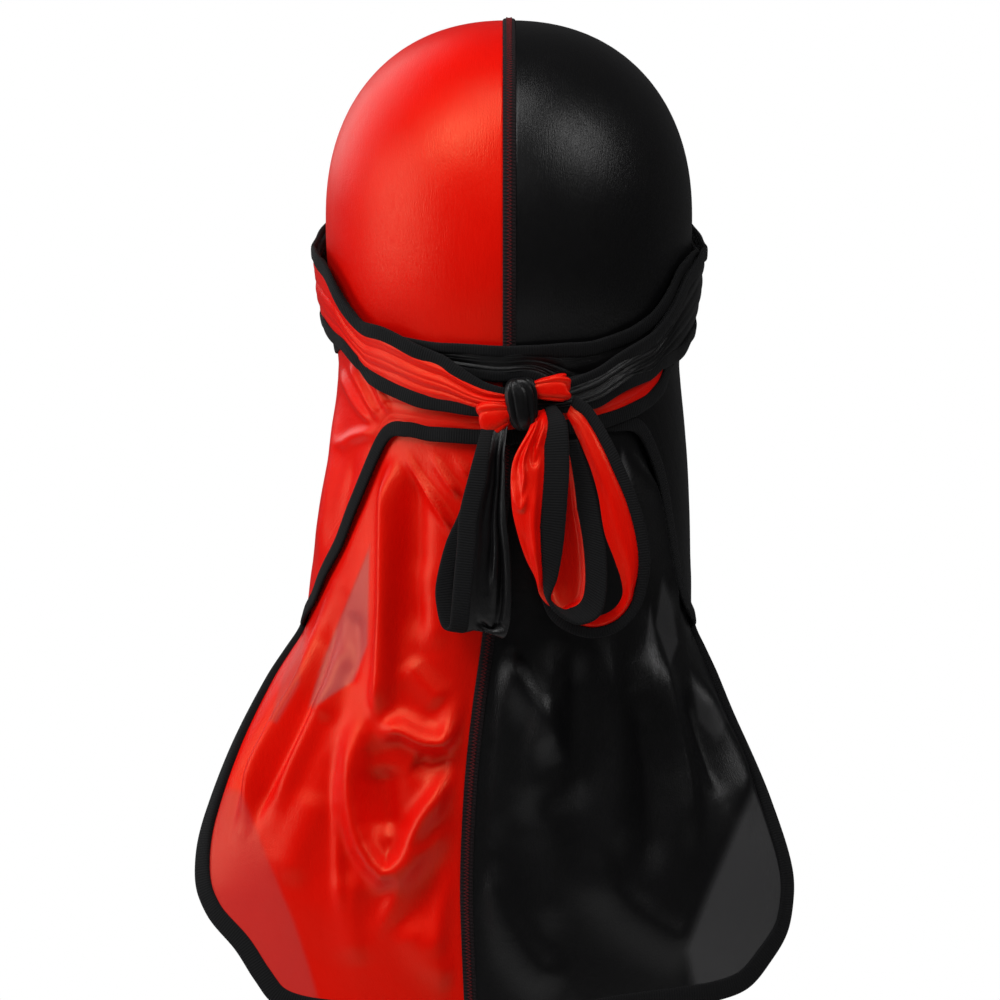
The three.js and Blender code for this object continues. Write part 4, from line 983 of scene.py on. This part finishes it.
STRAP_TAPE, FLAP_AZIMUTH, CURL = 6.4, -38, 13
FLAP_FOLDS = [
    fold(2.6, 1.6, 2.0, (344, 366), (362, 398), (382, 430)),
    fold(2.0, 1.6, 2.0, (332, 376), (350, 408), (374, 434)),
    fold(2.2, 1.5, 1.8, (360, 360), (376, 392), (390, 420)),
    fold(2.2, 2.0, 3.0, (330, 462), (350, 446), (378, 436)),
    fold(2.4, 2.4, 2.8, (333, 400), (328, 470), (318, 530), (310, 590)),
    fold(-1.8, 2.6, 2.6, (352, 456), (338, 520), (324, 575)),
]


def strap(path, mirror, name, finish, seed, folds=()):
    """The strap's cloth and its two tapes. The first columns curl round the side fold, from the panel's
    edge up to the strap's own layer. The tapes are the strap's edges, offset across the cloth."""
    first, last = path["azimuth"][0], path["azimuth"][-1]
    stations = np.linspace(first, last, 620)
    layer = FIRST_LAYER * (0.4 + 0.6 * smooth(0, 14, stations - first))
    layer = layer + LAYER_STEP * along(path, "azimuth", "layer", stations) + 0.4
    turn = np.linspace(np.pi, 0, CURL + 1)[:-1]
    ahead = np.concatenate([first - 1.0 * np.sin(turn), stations])
    lift = np.concatenate([0.6 + (layer[0] - 0.6) * (1 + np.cos(turn)) / 2, layer])
    way = np.concatenate([np.full(CURL, first), stations])
    read = lambda column: ring_top(way) + STRAP_WIDTH * along(path, "azimuth", column, way)
    top, bottom = read("top"), read("bottom")

    def tape_height(edge):
        run = np.gradient(lifted(mirror * way, edge, 0)[CURL:], axis=0)
        level = np.hypot(run[:, 0], run[:, 1]) / np.linalg.norm(run, axis=-1)
        return np.concatenate([np.full(CURL, 1 / level[0]), 1 / level]) * STRAP_TAPE

    upper, lower = np.minimum(tape_height(top), 24), np.minimum(tape_height(bottom), 24)
    narrow = np.minimum(1, 0.62 * (top - bottom) / (upper + lower))
    share = (way - first) / (last - first)
    u, t = np.meshgrid(np.linspace(0, 1, 66), share)
    z = (top - upper * narrow * 0.5)[:, None] * (1 - u) + (bottom + lower * narrow * 0.5)[:, None] * u
    tall = (top - bottom)[:, None]
    depth = 0.7 + 1.0 * smooth(0.88, 0.98, t) + 0.5 * smooth(0.62, 0.86, t)
    depth = depth * np.clip(STRAP_WIDTH / tall, 0.35, 1.25) * (0.35 + 0.65 * smooth(0, 0.03, t))
    depth = depth + 0.3 * smooth(0.06, 0.16, t) * (1 - smooth(0.2, 0.3, t))
    edges = smooth(0, 0.16, u) * smooth(0, 0.16, 1 - u)
    flat = lifted(mirror * ahead[:, None], z, lift[:, None])
    ripple = depth * gathers(u, t, (1.7, 3.1, 5.3), seed)
    ripple = ripple + drawn(flat[..., 0], flat[..., 2], folds) * (way < FLAP_AZIMUTH)[:, None]
    points = lifted(mirror * ahead[:, None], z, lift[:, None] + ripple * edges)
    if mirror < 0:
        points = points[:, ::-1]
    cloth = surface(f"{name}_cloth", points, spread_of(points), finish, (name,), SHEET_WALL, sheer_and_backlight=0.0)
    tapes = []
    for suffix, edge, inward in (("upper", top, -1), ("lower", bottom, 1)):
        wave = 0.25 * np.sin(share * 190 + seed) + 0.2 * np.sin(share * 77)
        line = lifted(mirror * ahead, edge, lift + 0.45 + wave * smooth(0, 0.05, share))
        normal = normal_at(mirror * ahead, edge)
        run = np.gradient(line[CURL:], axis=0)
        run = unit(np.concatenate([run[:1].repeat(CURL, 0), run]))
        across = unit(np.cross(normal, run)) * inward * mirror
        second = line + across * (STRAP_TAPE * narrow)[:, None]
        tapes.append(tube(f"{name}_{suffix}_binding", line, second, normal, TAPE_THICK,
                          (f"{name}_{suffix}_tape",), sides=14))
    return cloth, tapes


strap_left, tapes_left = strap(STRAP_LEFT, 1, "strap_left", RED_SATIN, 0.4, FLAP_FOLDS)
strap_right, tapes_right = strap(STRAP_RIGHT, -1, "strap_right", BLACK_SATIN, 2.3)
print("straps", len(strap_left.data.polygons), len(strap_right.data.polygons))

# %% [markdown]
# ## The bow
# The straps' ends are tied once and hang as three loops. A loop is a ruled strip between its free edge and
# its taped edge, each a smooth curve through a table, from the knot down the front, round the bottom and
# up behind. Its cloth bulges between the edges, and gathers run down it from the knot.

# %% The bow's tables
KNOT = lifted(KNOT_AZIMUTH, -KNOT_DROP, FIRST_LAYER + 2.4 * LAYER_STEP)


def bow_point(across, drop, out):
    """Shares of the bow's spread, depth and drop, from the knot."""
    return KNOT + np.stack([BOW_SPREAD * across, -BOW_DEPTH * out, -BOW_DROP * drop], -1)


LOOP_FRONT = table(
    "ax ad ao bx bd bo",
    (0.07, 0.07, 0.12, 0.25, 0.04, 0.1), (0.02, 0.14, 0.42, 0.34, 0.11, 0.45),
    (-0.11, 0.27, 0.6, 0.36, 0.27, 0.62), (-0.12, 0.43, 0.7, 0.34, 0.44, 0.7),
    (-0.07, 0.56, 0.72, 0.31, 0.61, 0.72), (0.01, 0.68, 0.68, 0.26, 0.75, 0.74),
    (0.12, 0.78, 0.56, 0.2, 0.84, 0.76), (0.18, 0.82, 0.42, 0.31, 0.91, 0.74),
    (0.22, 0.82, 0.3, 0.48, 0.94, 0.7), (0.23, 0.75, 0.22, 0.64, 0.88, 0.62),
    (0.22, 0.6, 0.18, 0.67, 0.68, 0.5), (0.23, 0.39, 0.15, 0.59, 0.41, 0.38),
    (0.26, 0.19, 0.14, 0.43, 0.18, 0.26),
)
LOOP_OUTER = table(
    "ax ad ao bx bd bo",
    (0.34, 0.08, 0.08, 0.41, 0, 0.12), (0.41, 0.15, 0.2, 0.55, 0.05, 0.24),
    (0.53, 0.29, 0.36, 0.73, 0.2, 0.42), (0.6, 0.41, 0.44, 0.9, 0.39, 0.46),
    (0.65, 0.56, 0.48, 0.99, 0.53, 0.46), (0.73, 0.67, 0.48, 1.03, 0.65, 0.44),
    (0.79, 0.76, 0.44, 1.02, 0.76, 0.4), (0.8, 0.83, 0.38, 0.95, 0.88, 0.36),
    (0.72, 0.89, 0.3, 0.8, 0.97, 0.3), (0.57, 0.92, 0.22, 0.59, 1.01, 0.24),
    (0.42, 0.9, 0.14, 0.37, 0.99, 0.18), (0.33, 0.84, 0.08, 0.19, 0.92, 0.12),
    (0.29, 0.73, 0.05, 0.1, 0.77, 0.07), (0.29, 0.56, 0.03, 0.07, 0.58, 0.04),
    (0.29, 0.39, 0.02, 0.09, 0.39, 0.03), (0.3, 0.19, 0.01, 0.14, 0.19, 0.02),
)
LOOP_LEFT = table(
    "ax ad ao bx bd bo",
    (-0.14, 0.1, 0.14, -0.35, 0.1, 0.1), (-0.17, 0.21, 0.4, -0.41, 0.21, 0.35),
    (-0.17, 0.31, 0.48, -0.46, 0.3, 0.45), (-0.16, 0.5, 0.55, -0.55, 0.48, 0.52),
    (-0.13, 0.64, 0.58, -0.57, 0.61, 0.55), (-0.12, 0.79, 0.55, -0.6, 0.77, 0.52),
    (-0.13, 0.93, 0.46, -0.62, 0.89, 0.46), (-0.17, 1, 0.36, -0.64, 0.96, 0.36),
    (-0.22, 0.99, 0.26, -0.7, 0.96, 0.26), (-0.26, 0.89, 0.18, -0.74, 0.89, 0.18),
    (-0.26, 0.75, 0.13, -0.75, 0.79, 0.13), (-0.24, 0.59, 0.1, -0.67, 0.62, 0.09),
    (-0.22, 0.44, 0.07, -0.55, 0.48, 0.06), (-0.21, 0.29, 0.05, -0.44, 0.29, 0.05),
    (-0.19, 0.15, 0.04, -0.31, 0.15, 0.04),
)
print("knot at", np.round(KNOT, 1))


# %% Loops
def loop(name, rows, finish, tape_width, bulge, depth, counts, seed, folds):
    """A ruled strip between edge a and edge b, pushed along its normal by a bulge, sin(pi u), by
    gathers that fade down the loop and by folds drawn as strokes. The tape lies along edge b."""
    last = rows["row"][-1]
    at = np.linspace(0, last, 300)
    edge = lambda k, where: bow_point(*(along(rows, "row", k + c, np.clip(where, 0, last)) for c in "xdo"))
    a, b = edge("a", at), edge("b", at)
    run = edge("a", at + 0.1) + edge("b", at + 0.1) - edge("a", at - 0.1) - edge("b", at - 0.1)
    normal = unit(np.cross(run, b - a))
    wide = np.linalg.norm(b - a, axis=-1)
    tape_share = np.minimum(tape_width / wide, 0.5)
    inner = b + (a - b) * tape_share[:, None]
    u, t = np.meshgrid(np.linspace(0, 1, 56), at / last)
    end = 1 - tape_share[:, None] * 0.5
    flat = a[:, None] + (b - a)[:, None] * (u * end)[..., None]
    fade = 0.45 + 0.55 * (1 - smooth(0.03, 0.3, t)) + 0.35 * smooth(0.75, 1, t)
    hump = bulge * np.sin(np.pi * u) * smooth(0, 0.12, t) * (1 - smooth(0.88, 1, t))
    crease = depth * fade * gathers(u, t, counts, seed) * np.sin(np.pi * np.clip(u, 0.04, 0.96)) ** 0.5
    open_share = 1 - tape_share[:, None]
    pleats = sum(stroke(u * end / open_share * 16, t * 190, **one) for one in folds)
    edges = smooth(0, 0.16, open_share + 0.03 - u * end)
    points = flat + normal[:, None] * ((hump + crease + pleats) * edges)[..., None]
    points = points[:, ::-1]
    cloth = surface(f"{name}_cloth", points, spread_of(points), finish, (name,), SHEET_WALL, sheer_and_backlight=0.0)
    binding = tube(f"{name}_binding", inner, b, normal, 1.8, (f"{name}_tape",), sides=14)
    return cloth, binding


FRONT_FOLDS = [
    fold(2.0, 1.3, 1.3, (10.0, 6), (6.8, 18), (5.2, 31), (6.4, 38), (4.8, 47)),
    fold(-1.6, 1.4, 1.4, (6.4, 8), (3.8, 24), (3.4, 38)),
    fold(-1.6, 1.6, 1.6, (12.4, 8), (9.8, 22), (11.0, 32), (13.4, 26)),
    fold(1.6, 1.6, 2.6, (0.8, 38), (2.4, 48), (5.4, 50), (8.4, 42)),
    fold(1.0, 3.0, 3.0, (12.5, 40), (11.5, 60), (10.5, 80)),
    fold(-0.8, 3.0, 3.0, (4, 60), (6, 75), (9, 92)),
]
OUTER_FOLDS = [
    fold(1.0, 3.0, 4.0, (5, 10), (7, 40), (9, 70), (9, 100)),
]
LEFT_FOLDS = [
    fold(2.2, 1.4, 2.4, (3, 4), (5, 35), (4, 75), (6, 95)),
    fold(1.6, 1.6, 2.0, (10, 6), (8, 40), (10, 70)),
    fold(-1.8, 1.5, 1.5, (6.5, 10), (6.5, 45), (7, 80)),
    fold(1.8, 2.0, 2.0, (2, 84), (7, 92), (13, 84)),
]
front_loop = loop("bow_loop_front", LOOP_FRONT, RED_SATIN, 10.5, 2.2, 0.3, (1.2, 2.3), 0.9,
                  FRONT_FOLDS)
outer_loop = loop("bow_loop_outer", LOOP_OUTER, RED_SATIN, 5.0, 1.2, 0.3, (1.1, 2.1), 1.7,
                  OUTER_FOLDS)
left_loop = loop("bow_loop_left", LOOP_LEFT, BLACK_SATIN, 8.0, 1.4, 0.7, (1.6, 2.9, 4.1), 3.1,
                 LEFT_FOLDS)
print("loops", [len(c.data.polygons) for c, _ in (front_loop, outer_loop, left_loop)])


# %% [markdown]
# ## The knot
# One turn of the black strap wraps the knot, and the red cloth shows as a small gathered tuck at each
# side. Each is a rounded cushion whose sides are pulled into ridges that run the way the cloth is drawn.

# %% Knot and tucks
def wad(name, finish, centre, wide, tall, deep, tilt, ridges, upright, square, flare):
    """A rounded form, cos and sin to a power that makes it square, whose radius swells with |sin| of
    the angle round it for upright ridges, or of the height for ridges that lie across. Upright it
    widens by flare towards the top, and lying across it grows taller by flare towards its right."""
    height = np.linspace(-math.pi / 2, math.pi / 2, 72)
    turn = np.linspace(0, 2 * math.pi, 128, endpoint=False)
    b, a = np.meshgrid(turn, height)
    soft = lambda v: np.sign(v) * np.abs(v) ** square
    angle = b + 0.3 * np.sin(a) if upright else 1.6 * np.sin(a) + 0.35 * np.sin(b + 0.7)
    swell = np.abs(np.sin(ridges * angle + 0.5 * np.sin(2 * a + b))) ** 0.7 * np.cos(a) ** 0.25
    grow = 0.86 + 0.22 * swell
    x = grow * soft(np.cos(a)) * soft(np.cos(b))
    y = KNOT_DEPTH / 2 * deep * grow * soft(np.cos(a)) * soft(np.sin(b))
    z = soft(np.sin(a)) * (0.97 + 0.05 * np.sin(3 * b) * np.cos(a))
    x, z = (x * (1 + flare * z), z) if upright else (x, z * (1 + flare * x))
    x, z = KNOT_HEIGHT / 2 * wide * x, KNOT_HEIGHT / 2 * tall * z
    c, s = math.cos(math.radians(tilt)), math.sin(math.radians(tilt))
    points = bow_point(*(np.float64(v) for v in centre)) + np.stack([x * c - z * s, y, x * s + z * c], -1)
    over, down = np.meshgrid(np.linspace(0, 40, 129), np.linspace(0, KNOT_HEIGHT, 72))
    return surface(f"{name}_cloth", points, np.stack([over, down], -1), finish, (name,), closed=True,
                   sheer_and_backlight=0.0)


wads = [
    wad("knot_wrap", BLACK_SATIN, (-0.03, 0.035, 0.17), 0.66, 1.2, 1.15, 5, 4.5, True, 0.62, 0.14),
    wad("knot_tuck_left", RED_SATIN, (-0.24, 0.085, 0.15), 0.8, 0.72, 0.6, 20, 2.6, False, 0.72, -0.4),
    wad("knot_tuck_right", RED_SATIN, (0.205, -0.03, 0.12), 0.86, 0.56, 0.6, 4, 2.6, False, 0.55, 0.3),
]
print("knot", [len(w.data.polygons) for w in wads])


# %% [markdown]
# ## What each cloth was cut from
# Each sheet's area is printed beside the size it was cut to, so that the two can be held against each other.

# %% Sheets
def cloth_area(piece):
    """The area of one face of the sheet, in square metres."""
    return sum(p.area for p in piece.data.polygons)


for piece, flat, share, held, tapes in (
    (cloth_left, (0.20, 0.56), 0.72, "hung", (tape_left,)),
    (cloth_right, (0.20, 0.56), 0.72, "hung", (tape_right, front_tape)),
    (strap_left, (0.05, 0.74), 0.6, "gathered", tapes_left),
    (strap_right, (0.05, 0.74), 0.6, "gathered", tapes_right),
    (front_loop[0], (0.018, 0.19), 0.85, "folded", (front_loop[1],)),
    (outer_loop[0], (0.013, 0.21), 0.8, "folded", (outer_loop[1],)),
    (left_loop[0], (0.017, 0.21), 0.85, "folded", (left_loop[1],)),
):
    print(piece.name, "cloth area", round(cloth_area(piece), 4), "cut", round(flat[0] * flat[1] * share, 4))
    flat[0] * flat[1] * share
